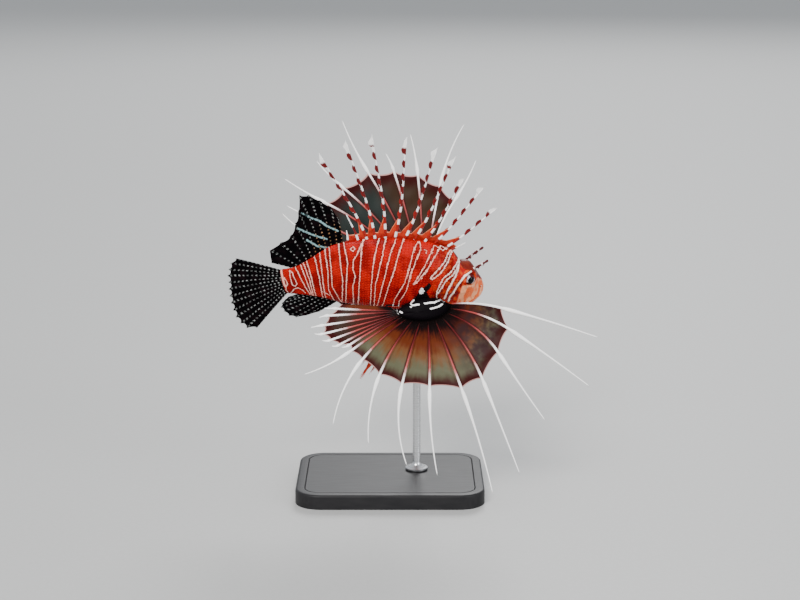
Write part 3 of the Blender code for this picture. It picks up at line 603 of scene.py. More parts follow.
# %% Bars, strokes and spots, in pixels of the photograph
BARS = (
    (((296.5, 270), (301, 279), (308, 291)), ((301.6, 268.5), (306, 279), (310, 290))),
    (((304.2, 266.3), (309.3, 279), (312.5, 291.5)), ((307.4, 263.8), (311.8, 279), (314.4, 291.5))),
    (((314.4, 257.4), (318.9, 276.5), (322, 294)), ((319.5, 253.6), (322, 271.4), (324.9, 294))),
    (((324.6, 251), (327.8, 271.4), (328.4, 289.3), (332.9, 298.2)),
     ((329, 248.5), (331.6, 271.4), (332.2, 286.7), (336, 304))),
    (((338.6, 246), (340.5, 263.8), (342.4, 279), (341.8, 302)),
     ((344.4, 247.2), (347.6, 263.8), (346.3, 282.9), (345.6, 301))),
    (((357, 254.8), (353.3, 260), (352.7, 268.9), (355.2, 276.5), (352.7, 286.7), (353.9, 302)),
     ((362.2, 243), (361, 257.4), (359.7, 276.5), (358.4, 302))),
    (((378.2, 241), (375, 253.6), (372.4, 271.4), (371.2, 289.3), (370.5, 305.5)),
     ((385.2, 240), (382, 257.4), (378.8, 271.4), (375.6, 284), (374.4, 305.5))),
    (((394.7, 242), (388.4, 260), (384.5, 276.5), (381.4, 289.3), (377.5, 305.5)),
     ((402.4, 242), (397.3, 257.4), (393.5, 271.4), (388.4, 286.7), (382.5, 305.5))),
    (((440, 241), (433.6, 245), (430.5, 254.5), (425.9, 263), (422, 270.5), (413, 284.3)),
     ((446, 238), (439.7, 244), (436.6, 253), (432, 260.6), (424.4, 273), (414.5, 284.6))),
    (((452.4, 248.7), (448.9, 251.2), (446.8, 255.3), (444.3, 262), (439, 268.6), (430, 278)),
     ((453, 250), (449.6, 256), (447.6, 262), (443, 270), (438.7, 275), (431.5, 280))),
    (((458, 261.4), (454, 267.5), (450.4, 272.6), (443.6, 277.8), (439.8, 284), (436.6, 292)),
     ((459.4, 262), (456, 270), (452.4, 275.2), (446, 280.4), (442.2, 286), (438, 293.5))),
)
HOOK = ((418.5, 241.5), (414, 248), (410.6, 260.6), (407.5, 274), (404.5, 283), (400, 291),
        (395, 299), (393, 306), (393, 322), (399, 322), (398.6, 306), (399.6, 301), (403, 297),
        (406.6, 290), (410.6, 274), (415, 262), (420.6, 249))
LOOPS = (
    ((284, 277.4), (286, 280.5), (287.6, 284.4), (285.8, 287), (283.6, 283.5), (283, 280)),
    ((289.6, 270), (290.4, 278), (292.4, 285), (295.4, 286.4), (297, 284), (294.4, 278.6),
     (292.4, 272.6)),
    ((352.7, 246.4), (354.9, 249.1), (352.7, 251.8), (350.5, 249.1)),
)
THIN_STROKES = (
    ((290, 293), (294, 289), (298, 287.6), (303, 290.4), (305.4, 293)),
    ((283, 292.4), (286, 290), (288.4, 292.4)),
    ((322, 298), (325, 301), (327.4, 306)),
    ((423.4, 249), (426.5, 251), (425.4, 253.6)),
    ((436.6, 292), (436.4, 297), (437.6, 300)),
)
THICK_STROKES = (
    ((458.8, 264), (457.6, 269.6), (456, 274.7), (452.4, 281.3), (449.2, 287.4), (447, 292),
     (444.3, 298.5)),
    ((471, 271.6), (464.7, 275.7), (460.6, 281.3), (457.6, 284.9), (454.5, 290.5), (450, 297),
     (448.5, 301)),
    ((281, 270), (280.6, 276), (280, 283), (279.8, 289), (281, 294)),
)
BASE_STROKES = (
    ((410.8, 307), (411.2, 303), (414, 300)),
    ((413, 305.4), (419, 304.4)),
    ((424.4, 303.6), (430, 302.6), (435, 302.4), (440.4, 299.6)),
    ((430, 309), (436, 307.4), (440, 306), (444, 302)),
    ((396.6, 311), (397.6, 314), (398.6, 318)),
    ((400, 311.6), (402, 312.6)),
)
ON_FLANK = 3
THIN = 0.31
FRONT_EXTRA = 0.20
THICK = 0.66
DIAMOND = ((421, 287.2), (422.4, 287.6), (424.4, 291), (421.8, 294.2), (419.9, 294), (418.8, 291))
MUZZLE_EDGE = ((456, 303), (458.6, 295), (460.6, 290.5), (462, 286), (465.2, 285.2), (471, 285),
               (475, 281), (478, 277), (481, 279))
BROW = ((452, 247), (455, 255), (460, 262), (463, 268), (469, 270.5), (474, 271.5), (478, 276), (481, 279))
BLACK_PATCH = ((429, 282.6), (432, 286), (427, 292), (431, 299), (441, 299), (446, 306), (440, 318),
               (384, 322), (385, 310.6), (400, 310), (408, 304), (412, 300), (418, 291))

# %% [markdown]
# The white lines, the bars, the black patch and the muzzle are each turned into one number for
# every corner of a mesh: the distance in mm to the nearest edge, below zero inside. The finish
# then draws an edge wherever that number passes zero, which stays sharp on a coarse mesh.

# %% Distances on the chart
OFF_CHART = 60


def drawn_out(line, head, tail):
    """Draws a line out past the back, the belly or both."""
    line = [Vector(p) for p in line]
    if head:
        ahead = (line[0] - line[1]).normalized()
        line.insert(0, line[0] + Vector((ahead.x * 0.5, -1)).normalized() * OFF_CHART)
    if tail:
        ahead = (line[-1] - line[-2]).normalized()
        line.append(line[-1] + Vector((ahead.x * 0.5, 1)).normalized() * OFF_CHART)
    return line


def distance_to(places, line):
    """Distance of many chart places from a line, in mm."""
    best = np.full(len(places), 1e3)
    for a, b in zip(line, line[1:]):
        start = np.array(a)
        run = np.array(b) - start
        share = np.clip((places - start) @ run / max(run @ run, 1e-9), 0, 1)
        best = np.minimum(best, np.linalg.norm(places - start - share[:, None] * run, axis=1))
    return best


def inside(places, outline):
    """Which places lie inside a closed outline."""
    found = np.zeros(len(places), bool)
    x, y = places[:, 0], places[:, 1]
    for a, b in zip(outline, outline[1:] + outline[:1]):
        spans = (a[1] > y) != (b[1] > y)
        rise = b[1] - a[1] if abs(b[1] - a[1]) > 1e-9 else 1e-9
        found ^= spans & (x < (b[0] - a[0]) * (y - a[1]) / rise + a[0])
    return found


def edge_distance(places, outline):
    """Distance from a closed outline, below zero inside."""
    away = distance_to(places, outline + outline[:1])
    return np.where(inside(places, outline), -away, away)


# %% Reading the pixels onto the chart
OPEN_AT_BELLY = 8
bar_outlines = []
for number, (rear, front) in enumerate(BARS):
    open_below = number < OPEN_AT_BELLY
    rear_line = drawn_out(traced(rear), True, open_below)
    front_line = drawn_out(traced(front), True, open_below)
    bar_outlines.append(rear_line + front_line[::-1])
bar_outlines += [traced(loop) for loop in (*LOOPS, HOOK)]
strokes = [(traced(line), THIN) for line in THIN_STROKES]
strokes += [(traced(line), THICK) for line in THICK_STROKES + BASE_STROKES[:ON_FLANK]]
diamond = traced(DIAMOND)
brow = traced(BROW)
brow += [Vector((brow[-1].x, -OFF_CHART)), Vector((brow[0].x, -OFF_CHART))]
black_patch = traced(BLACK_PATCH)
muzzle_line = traced(MUZZLE_EDGE)
SNOUT = -20
muzzle = muzzle_line + [Vector((SNOUT, muzzle_line[-1].y)), Vector((SNOUT, OFF_CHART)),
                        Vector((muzzle_line[0].x, OFF_CHART))]
print("bars:", len(bar_outlines), "strokes:", len(strokes))


def skin_marks(stations, turns):
    """All markings of a mesh, one number a corner."""
    places = np.array([chart(t, a) for t, a in zip(stations, turns)])
    white = np.full(len(places), 1e3)
    for line, half in strokes:
        white = np.minimum(white, distance_to(places, line) - half)
    white = np.minimum(white, edge_distance(places, diamond))
    bars = np.full(len(places), 1e3)
    for outline in bar_outlines:
        bars = np.minimum(bars, edge_distance(places, outline))
    return {"stroke": white, "bar": bars, "black": edge_distance(places, black_patch),
            "muzzle": edge_distance(places, muzzle), "brow": edge_distance(places, brow)}


def keep_marks(mesh, marks):
    """Writes numbers to the corners of a mesh, as attributes."""
    for name, values in marks.items():
        attribute = mesh.attributes.get(name) or mesh.attributes.new(name, "FLOAT", "POINT")
        attribute.data.foreach_set("value", np.clip(values, -50, 50).astype(np.float32))


# %% [markdown]
# ## The finish of the skin
# The photograph shows wet vermilion, deeper inside the bars and on the head, with pinkish white
# lines that have dark, slightly ragged edges. The snout is mottled orange and cream. Paint in
# layers does this: each mark is turned into a mask, and each mask lays one colour over the last.

# %% The skin finish
VERMILION = (0.46, 0.003, 0.0005)
DEEP_RED = (0.21, 0.001, 0.0005)
BAR_RED = (0.13, 0.001, 0.001)
HEAD_RED = (0.10, 0.002, 0.001)
# Near black red: the dark edges of the white lines and fine dark flecks, and also the painted shade at the
# roots of the scales.
DARK_PIGMENT_AND_SHADE = (0.022, 0.001, 0.001)
LINE_PINK = (0.95, 0.40, 0.32)
LINE_WHITE = (0.95, 0.76, 0.66)
PATCH_BLACK = (0.003, 0.002, 0.003)
PATCH_WHITE = (0.95, 0.95, 0.95)
ORANGE = (0.62, 0.060, 0.006)
SNOUT_ORANGE = (0.84, 0.125, 0.022)
CREAM = (0.90, 0.37, 0.18)
BROW_BROWN = (0.075, 0.010, 0.006)


def skin_finish():
    finish = Finish("red_skin", Specular_IOR_Level=0.09)
    ragged = (finish.noise(0.7 * MM, 1) - 0.5) * 0.30
    bar = finish.mark("bar") + (finish.noise(1.5 * MM, 2) - 0.5) * 1.1
    front = finish.mark("front")
    white = bar.size() - THIN - front * FRONT_EXTRA
    white = white.math("MINIMUM", finish.mark("stroke")) + ragged
    black = finish.mark("black") + ragged * 2
    muzzle = finish.mark("muzzle") + ragged * 2
    grain = finish.noise(0.55 * MM, 2, 0.7)
    clouds = finish.noise(9 * MM, 3)
    colour = finish.blend(clouds.rise(0.35, 0.65), VERMILION, DEEP_RED)
    colour = finish.blend(front * clouds.rise(0.45, 0.65) * 0.6, colour, HEAD_RED)
    colour = finish.blend(bar.rise(0.0, -0.6) * 0.3, colour, BAR_RED)
    flecks = finish.noise(2.6 * MM, 3)
    colour = finish.blend(front * flecks.rise(0.46, 0.60) * 0.9, colour, ORANGE)
    lobes = finish.add("TexNoise", {}, {"Scale": 1 / (3.8 * MM), "Detail": 0.6, "Vector": finish.add(
        "Mapping", {}, {"Vector": finish.here, "Scale": (1.0, 1.0, 0.62)})})
    snout = finish.blend(lobes.rise(0.42, 0.58), CREAM, SNOUT_ORANGE)
    snout = finish.blend(muzzle.rise(-0.2, -1.6), CREAM, snout)
    colour = finish.blend(muzzle.rise(0.4, -0.8), colour, snout)
    brow = finish.mark("brow") + (clouds - 0.5) * 2
    colour = finish.blend(brow.rise(0.6, -0.6) * 0.85, colour, BROW_BROWN)
    colour = finish.blend(grain.rise(0.46, 0.30) * 0.40, colour, DARK_PIGMENT_AND_SHADE)
    colour = finish.blend(black.rise(0.2, -0.5), colour, PATCH_BLACK)
    colour = finish.blend(white.rise(0.62, 0.14) * 0.70, colour, DARK_PIGMENT_AND_SHADE)
    # Painted shade: each scale darkens towards its root, where it tucks under the scale before it.
    colour = finish.blend(finish.mark("root") * 0.30, colour, DARK_PIGMENT_AND_SHADE)
    pale = (front + clouds.rise(0.50, 0.75) * 0.6).math("MINIMUM", 1)
    line = finish.blend(pale, LINE_PINK, LINE_WHITE)
    line = finish.blend(black.rise(1.0, 0.0), line, PATCH_WHITE)
    colour = finish.blend(white.rise(0.10, -0.14), colour, line)
    finish.set("Base Color", colour)
    finish.set("Roughness", finish.noise(1.6 * MM, 2) * 0.25 + 0.26)
    finish.bump(grain + finish.noise(3 * MM, 2) * 0.5, 0.08 * MM, 0.5)
    return finish


red_skin = skin_finish()

# %% [markdown]
# The skin's mesh is finished now. The two numbers that it kept for each corner, its station and
# its turn round the body, give its place on the chart, and from that all of its markings.

# %% The skin as a piece
def front_share(stations):
    """1 on the head and 0 behind it, where the red turns brighter."""
    return 1 - np.clip((np.array(stations) - 0.22) / 0.14, 0, 1)


skin_stations = [v[station_layer] for v in skin_bm.verts]
skin_turns = [v[turn_layer] for v in skin_bm.verts]
skin_mesh = bpy.data.meshes.new("skin")
skin_bm.to_mesh(skin_mesh)
keep_marks(skin_mesh, skin_marks(skin_stations, skin_turns))
keep_marks(skin_mesh, {"front": front_share(skin_stations), "root": np.zeros(len(skin_stations))})
skin = mount("skin", skin_mesh, red_skin, "skin", "head", "jaw", "trunk", "tail_stem")

# %% [markdown]
# ## The scales
# This fish has about fifty rows of small scales, and none on the snout. One scale is made as a
# thin domed disc. Copies of it are then set out in staggered rows, sunk at the root and lifted
# at the rear edge, so that each lies on the next as roof tiles do.

# %% One scale
SCALE_SIDES = 8
SCALE_RING = 0.22
SCALE_DOME = 0.06
SCALE_EDGE = 0.02


def one_scale():
    """A thin domed disc: 1 long from its root at x 0, and 1 wide."""
    bm = bmesh.new()
    disc = bmesh.ops.create_circle(bm, cap_ends=True, segments=SCALE_SIDES, radius=0.5)["verts"]
    bmesh.ops.translate(bm, vec=(0.5, 0, 0), verts=disc)
    raised = bmesh.ops.extrude_face_region(bm, geom=bm.faces[:])["geom"]
    top = [f for f in raised if isinstance(f, bmesh.types.BMFace)]
    bmesh.ops.translate(bm, vec=(0, 0, SCALE_EDGE), verts=top[0].verts)
    bmesh.ops.inset_region(bm, faces=top, thickness=SCALE_RING)
    bmesh.ops.poke(bm, faces=top)
    for vert in bm.verts:
        if vert.co.z > 0:
            middle_share = 1 - ((vert.co.x - 0.5) ** 2 + vert.co.y**2) * 4
            vert.co.z += SCALE_DOME * middle_share
    bm.normal_update()
    bmesh.ops.recalc_face_normals(bm, faces=bm.faces)
    bmesh.ops.triangulate(bm, faces=bm.faces)
    bm.verts.index_update()
    places = np.array([v.co[:] for v in bm.verts])
    faces = np.array([[v.index for v in f.verts] for f in bm.faces])
    bm.free()
    return places, faces


scale_places, scale_faces = one_scale()
print("one scale:", len(scale_faces), "faces")

# %% Rows of scales
SCALE_SIZE_T = (0.12, 0.20, 0.30, 0.42, 0.60, 0.80, 0.97)
SCALE_SIZE_MM = (0.95, 1.15, 1.50, 1.80, 1.80, 1.60, 1.20)
SCALE_FIRST_T = 0.125
SCALE_LAST_T = 0.975
SCALE_LONG = 1.42
SCALE_WIDE = 1.10
SCALE_SINK = 0.10 * MM
SCALE_TILT = 0.15 * MM
GIRTH_STEPS = 60
scale_size_at = smooth_table(SCALE_SIZE_T, SCALE_SIZE_MM)


def girth_table(t):
    """Angles round the body against the distance round it."""
    angles = [2 * math.pi * k / GIRTH_STEPS - math.pi for k in range(GIRTH_STEPS + 1)]
    places = [skin_place(t, a) for a in angles]
    steps = [(a - b).length for a, b in zip(places, places[1:])]
    return np.concatenate([[0], np.cumsum(steps)]), np.array(angles)


def keeps_clear(t, angle):
    """True where scales grow: off the eye, the lips and the snout."""
    top, bottom = backbone(t)[4][:2]
    up = (top + bottom) / 2 + (top - bottom) / 2 * math.cos(angle)
    eye = math.hypot(t - EYE_T, up - EYE_UP)
    if abs(math.sin(angle)) > 0.15 and eye < EYE_RADIUS * 1.45:
        return False
    return t > 0.17 or up < EYE_UP - 0.02


def scale_seats():
    """Station, turn and size of every scale, row by row."""
    seats = []
    t = SCALE_FIRST_T
    row = 0
    while t < SCALE_LAST_T:
        size = scale_size_at(t)
        along, angles = girth_table(t)
        count = round(along[-1] / (size * MM))
        for k in range(count):
            share = (k + 0.5 * (row % 2)) / count
            shake = noise.noise(Vector((row * 1.7, k * 2.3, 0))) * 0.25
            angle = float(np.interp(share * along[-1], along, angles))
            if keeps_clear(t, angle):
                seats.append((t + shake * size * MM / STANDARD_LENGTH, angle, size))
        t += size * MM / STANDARD_LENGTH
        row += 1
    return seats


seats = scale_seats()
print("scales:", len(seats))

# %% [markdown]
# Thousands of copies are joined into two meshes by array sums, one for the head and one for the
# rest, as that is much quicker than an operator for each. Each scale also gets a small patch on
# a flat map, at its root's place on an unwrap of the skin.

# %% Scales set on the skin
PROBE = 0.25 * MM
PATCH = 0.003


def scale_coat(name, chosen):
    """Joins the chosen scales into one piece."""
    places = []
    stations = []
    turns = []
    roots = []
    uvs = []
    for t, angle, size in chosen:
        here = skin_place(t, angle)
        step_t = PROBE / STANDARD_LENGTH
        back = (skin_place(t + step_t, angle) - here).normalized()
        round_step = skin_place(t, angle + 0.02) - here
        rate = round_step.length / 0.02
        side = (round_step - back * round_step.dot(back)).normalized()
        up = back.cross(side)
        if up.dot(here - pose @ backbone(t)[0]) < 0:
            up = -up
        x = scale_places[:, 0] * size * SCALE_LONG * MM
        y = scale_places[:, 1] * size * SCALE_WIDE * MM
        z = scale_places[:, 2] * size * 0.55 * MM - SCALE_SINK + SCALE_TILT * scale_places[:, 0]
        spots = np.outer(x, back) + np.outer(y, side) + np.outer(z, up) + np.array(here)
        places.append(spots)
        stations.append(t + x / STANDARD_LENGTH)
        turns.append(angle + y / rate)
        # The root mark says how much painted shade a corner takes: most at the root of the scale, fading
        # to none before its rear edge.
        roots.append(np.clip(1 - scale_places[:, 0] * 1.6, 0, 1))
        corner = np.array((min(t, 0.99), (angle / math.pi + 1) / 2 * 0.99))
        uvs.append(corner + (scale_places[:, :2] - (0.5, 0)) * PATCH)
    count = len(scale_places)
    faces = np.concatenate([scale_faces + i * count for i in range(len(chosen))])
    mesh = bpy.data.meshes.new(name)
    mesh.from_pydata(np.concatenate(places), [], faces.tolist())
    keep_marks(mesh, skin_marks(np.concatenate(stations), np.concatenate(turns)))
    keep_marks(mesh, {"front": front_share(np.concatenate(stations)),
                      "root": np.concatenate(roots)})
    flat_map = mesh.uv_layers.new(name="OFBake")
    corner_verts = np.empty(len(mesh.loops), np.int64)
    mesh.loops.foreach_get("vertex_index", corner_verts)
    flat_map.data.foreach_set("uv", np.concatenate(uvs)[corner_verts].astype(np.float32).ravel())
    return mount(name, mesh, red_skin, "skin")


HEAD_SCALES_T = 0.36
head_scales = scale_coat("head_scales", [s for s in seats if s[0] < HEAD_SCALES_T])
body_scales = scale_coat("body_scales", [s for s in seats if s[0] >= HEAD_SCALES_T])

# %% [markdown]
# ## The eyes
# Each eye is a glossy ball, sunk in its socket behind a raised lid. Its cornea bulges a little
# past the ball. The pupil is black, and a dark band that crosses the eye leaves only two pieces of
# its white ring. The ball is one sphere, and two marks tell the finish how far a point is from the
# line of sight, and at which hour of the clock it is.

# %% The eye finish
IRIS_WHITE = (0.72, 0.70, 0.78)
IRIS_RED = (0.07, 0.003, 0.003)
PUPIL_BLACK = (0.002, 0.002, 0.003)
PUPIL_EDGE = 33
RING_EDGE = 54


def eye_finish():
    finish = Finish("eye_glass", Roughness=0.10, Specular_IOR_Level=0.06, Coat_Weight=0.14,
                    Coat_Roughness=0.02)
    off = finish.mark("off") + (finish.noise(0.6 * MM) - 0.5) * 5
    side = (finish.mark("hour") + 0.15).math("COSINE").size()
    pieces = (side + (finish.noise(0.7 * MM) - 0.5) * 0.5).rise(0.62, 0.78)
    colour = finish.blend(pieces, IRIS_RED, IRIS_WHITE)
    colour = finish.blend(off.rise(RING_EDGE, RING_EDGE + 6), colour, IRIS_RED)
    colour = finish.blend(off.rise(PUPIL_EDGE, PUPIL_EDGE - 2), colour, PUPIL_BLACK)
    finish.set("Base Color", colour)
    return finish


glass_eye = eye_finish()

# %% The eyeballs
GAZE_AHEAD = -0.10
GAZE_UP = 0.12
EYE_SEGMENTS = 48
CORNEA_RISE = 0.35 * MM
CORNEA_REACH = 30


def eyeball(side):
    """A ball with a cornea, looking out, a little forwards and up."""
    centre = head_place(EYE_T, EYE_UP, EYE_OUT * side)
    forward, left, up = backbone(EYE_T)[1:4]
    gaze = (left * side + forward * GAZE_AHEAD + up * GAZE_UP).normalized()
    turn = Vector((0, 0, 1)).rotation_difference(gaze).to_matrix()
    bm = blank("off", "hour")
    bmesh.ops.create_uvsphere(bm, u_segments=EYE_SEGMENTS, v_segments=EYE_SEGMENTS // 2,
                              radius=EYE_RADIUS * STANDARD_LENGTH)
    off_layer = bm.verts.layers.float["off"]
    hour_layer = bm.verts.layers.float["hour"]
    for vert in bm.verts:
        off = math.degrees(vert.co.angle(Vector((0, 0, 1))))
        vert[off_layer] = off
        place = turn @ vert.co
        vert[hour_layer] = math.atan2(place.dot(up), place.dot(forward))
        vert.co += vert.co.normalized() * CORNEA_RISE * near(off, CORNEA_REACH)
    bmesh.ops.rotate(bm, cent=(0, 0, 0), matrix=turn, verts=bm.verts)
    bmesh.ops.translate(bm, vec=centre, verts=bm.verts)
    bmesh.ops.transform(bm, matrix=pose, verts=bm.verts)
    return bm


for name, side in (("left", 1), ("right", -1)):
    piece("eyeball_" + name, eyeball(side), glass_eye, "eye", "eye_" + name)

# %% [markdown]
# ## The feelers and the flaps of skin
# Over each eye stands a feeler with rounded lobes at its sides, maroon with white lobes. Small
# flaps of skin also hang at the snout and along the cheek. They are flattened tubes whose width
# follows a short table.

# %% The feeler finish
FLAP_RED = (0.090, 0.003, 0.004)
FLAP_WHITE = (0.90, 0.78, 0.74)


def feeler_finish():
    finish = Finish("feeler_skin", Roughness=0.42, Specular_IOR_Level=0.25)
    along = finish.mark("along") + (finish.noise(0.8 * MM) - 0.5) * 2.4
    bands = (along * 1.1).math("SINE").rise(0.72, 0.88)
    lobes = (finish.mark("edge") + (finish.noise(1.0 * MM) - 0.5) * 0.8).rise(0.62, 0.86)
    colour = finish.blend(bands.math("MAXIMUM", lobes), FLAP_RED, FLAP_WHITE)
    colour = finish.blend(finish.noise(0.5 * MM).rise(0.45, 0.3) * 0.5, colour, DARK_PIGMENT_AND_SHADE)
    finish.set("Base Color", colour)
    finish.bump(finish.noise(0.5 * MM), 0.06 * MM)
    return finish


feeler_skin = feeler_finish()

# %% Feelers
TENTACLE_T = 0.137
TENTACLE_UP = 0.096
TENTACLE_OUT = 0.040
TENTACLE_LEAN_DEG = 47
TENTACLE_SPLAY = 0.19
TENTACLE_SUNK = 1.5 * MM
TENTACLE_LENGTH = {1: 17 * MM, -1: 12 * MM}
TENTACLE_WIDTHS = (1.2, 1.1, 1.0, 0.9, 2.2, 1.0, 0.9, 2.0, 1.0, 0.8, 1.3, 0.5)
TENTACLE_HALF_THICK = 0.5 * MM
TENTACLE_BEND = 1.5 * MM


def feeler(side):
    """A lobed strap over the eye, bent a little outwards."""
    root = head_place(TENTACLE_T, TENTACLE_UP, TENTACLE_OUT * side)
    forward, left, up = backbone(TENTACLE_T)[1:4]
    lean = math.radians(TENTACLE_LEAN_DEG)
    along = (forward * math.sin(lean) + left * TENTACLE_SPLAY * side + up * math.cos(lean)).normalized()
    broad = along.cross(left).normalized()
    thin = along.cross(broad)
    start = root - along * TENTACLE_SUNK
    long = TENTACLE_LENGTH[side]
    last = len(TENTACLE_WIDTHS) - 1
    width_at = smooth_table([k / last for k in range(last + 1)], TENTACLE_WIDTHS)
    bm = blank("along", "edge")
    roll(bm, 44, 12,
         lambda u: pose @ (start + along * long * u + thin * side * TENTACLE_BEND * u * u),
         lambda u: pose.to_3x3() @ broad,
         lambda u: width_at(u) * MM * (0.92 + 0.08 * math.sin(u * 40)),
         lambda u: TENTACLE_HALF_THICK * (1 - 0.45 * u),
         along=lambda u, v: u * long / MM,
         edge=lambda u, v: abs(math.cos(2 * math.pi * v)) * min(width_at(u) / 1.9, 1))
    return bm


for name, side in (("left", 1), ("right", -1)):
    piece("feeler_" + name, feeler(side), feeler_skin, "tentacle", "tentacle_" + name)

# %% Flaps at the snout and the cheek
FLAPS = ((0.045, 62, 2.6, 0.55), (0.108, 118, 3.2, 0.75), (0.165, 128, 2.8, 0.70),
         (0.205, 132, 3.4, 0.85), (0.235, 126, 3.0, 0.75), (0.118, 150, 2.4, 0.5))


def flaps():
    """Small leaves of skin that hang back and down from the head."""
    bm = blank("along", "edge")
    for side in (1, -1):
        for t, angle_deg, long, wide in FLAPS:
            angle = math.radians(angle_deg) * side
            root = skin_place(t, angle, -0.3 * MM)
            out = (skin_place(t, angle, 1 * MM) - skin_place(t, angle)).normalized()
            back = (skin_place(t + 0.01, angle) - skin_place(t, angle)).normalized()
            along = (out * 0.8 + back * 0.6 + Vector((0, 0, -0.35))).normalized()
            roll(bm, 12, 8,
                 lambda u: root + along * long * MM * u + back * 0.5 * MM * u * u,
                 lambda u: back.cross(out),
                 lambda u: wide * MM * (0.45 + 0.55 * math.sin(math.pi * min(u * 1.1, 1))),
                 lambda u: 0.16 * MM,
                 along=lambda u, v: u * long,
                 edge=lambda u, v: abs(math.cos(2 * math.pi * v)) * step_up(u * 2))
    return bm


piece("face_flaps", flaps(), feeler_skin, "tentacle")

# %% [markdown]
# ## The pectoral fins
# The two great fans are what makes a lionfish. Seventeen rays spring from a fleshy base, bend
# over, and run on past the skin between them as white streamers. The rays are tubes and the
# skin between them one sheet. Both ask the same functions as the solids for their course.

# %% Courses of the rays
FIN_PLANE_DEG = 33
RIGHT_RAYS = (
    (-6, 15, 19, 30, 90), (4, 34, 37, 37, 96), (18, 57, 54, 39, 88), (46, 68, 69, 44, 105),
    (69, 70, 77, 44, 109), (87, 91, 79, 39, 92), (110, 103, 70, 39, 88), (132, 112, 86, 38, 80),
    (147, 129, 99, 36, 79), (150, 144, 163, 37, 68), (153, 147, 184, 35, 40),
    (156, 151, 200, 40, 45), (159, 160, 210, 44, 49), (163, 167, 206, 47, 52),
    (169, 172, 168, 45, 53), (177, 177, 158, 41, 47), (182, 183, 180, 35, 43),
)
LEFT_RAYS = (
    (82, 56, 68, 46, 75), (82, 78, 59, 52, 94), (90, 96, 105, 58, 84), (102, 108, 122, 62, 74),
    (112, 122, 111, 66, 103), (122, 141, 128, 66, 90), (131, 154, 145, 66, 97),
    (147, 157, 150, 60, 85), (157, 162, 131, 56, 85), (163, 157, 154, 50, 64),
    (165, 164, 164, 48, 58), (172, 172, 172, 47, 54), (180, 180, 180, 46, 52),
    (188, 188, 188, 44, 50), (196, 196, 196, 42, 47), (204, 204, 204, 38, 43),
    (212, 212, 212, 34, 39),
)
RAY_STEPS = 32
RISE_REACH = 18.5 * MM


class PectoralPlane:
    """The plane that one pectoral fin is spread in, and its oval of ray roots."""

    def __init__(self, side):
        turn = math.radians(FIN_PLANE_DEG)
        down = Vector((0, -math.sin(turn), -math.cos(turn)))
        out = Vector((0, -math.cos(turn), math.sin(turn)))
        self.forward = Vector((1, 0, 0))
        if side < 0:
            self.second = down
            self.out = out
            self.centre = self.forward * 19 * MM + down * 19 * MM
            self.rays = RIGHT_RAYS
            self.root_depth = (10.5 * MM, 6.0 * MM)
            self.radii = (17.8 * MM, 10.4 * MM)
            self.rise = (30 * MM, 8 * MM)
            self.root_turn = smooth_table((0, 4, 9, 12.5, 16), (0, 62, 130, 142.5, 155))
            self.flank = -1 * MM
            self.lean = down * -0.35
        else:
            self.second = -down
            self.out = -out
            self.centre = self.forward * 17 * MM + down * 3 * MM
            self.rays = LEFT_RAYS
            self.root_depth = (27.0 * MM, 24.0 * MM)
            self.radii = (13.0 * MM, 8.5 * MM)
            self.rise = (9 * MM, 4 * MM)
            self.root_turn = smooth_table((0, 16), (55, 215))
            self.flank = 16 * MM
            self.lean = Vector()
        self.paths = [self.ray(i) for i in range(len(self.rays))]

    def place(self, x, y, z):
        return self.centre + self.forward * x + self.second * y + self.out * z

    def root(self, f):
        """Root of ray f, counted from 0, on the rim of the fleshy base."""
        turn = math.radians(self.root_turn(f))
        depth = between(*self.root_depth, step_up((f - 8) / 8))
        return self.place(self.radii[0] * math.cos(turn), self.radii[1] * math.sin(turn), depth)

    def start(self, i):
        """Direction in which ray i leaves its root."""
        turn = math.radians(self.rays[i][0])
        rise = between(*self.rise, step_up((i - 8) / 8))
        return (self.forward * math.cos(turn) + self.second * math.sin(turn)
                + self.out * rise / RISE_REACH).normalized()

    def ray(self, i):
        """The path of a ray: a function of the length from its root, in metres."""
        start, edge, tip, web, whole = self.rays[i]
        rise = between(*self.rise, step_up((i - 8) / 8))
        step = whole * MM / RAY_STEPS
        path = [Vector((0, 0, 0))]
        for k in range(RAY_STEPS):
            s = (k + 0.5) * step / MM
            if s < web:
                turn = between(start, edge, s / web)
            else:
                turn = between(edge, tip, (s - web) / (whole - web))
            turn = math.radians(turn)
            path.append(path[-1] + Vector((math.cos(turn), math.sin(turn), 0)) * step)
        root = self.root(i)

        def point(s):
            x = min(max(s / step, 0), RAY_STEPS - 0.0001)
            k = int(x)
            flat = path[k].lerp(path[k + 1], x - k)
            lift = rise * (1 - math.exp(-max(s, 0) / RISE_REACH))
            return root + self.forward * flat.x + self.second * flat.y + self.out * lift

        return point


right_plane = PectoralPlane(-1)
left_plane = PectoralPlane(1)
print("longest ray:", max(r[4] for r in RIGHT_RAYS + LEFT_RAYS), "mm")

# %% [markdown]
# A ray is red where it leaves the body, turns pink, and is pure white past the skin. Just past
# the edge of the skin it is widest, where a flag of skin runs out along it, and from there it
# thins to a thread.

# %% The ray finish
WEB_BLACK = (0.002, 0.001, 0.001)
RAY_RED = (0.070, 0.002, 0.003)
RAY_PINK = (0.36, 0.055, 0.050)
RAY_WHITE = (0.94, 0.93, 0.92)


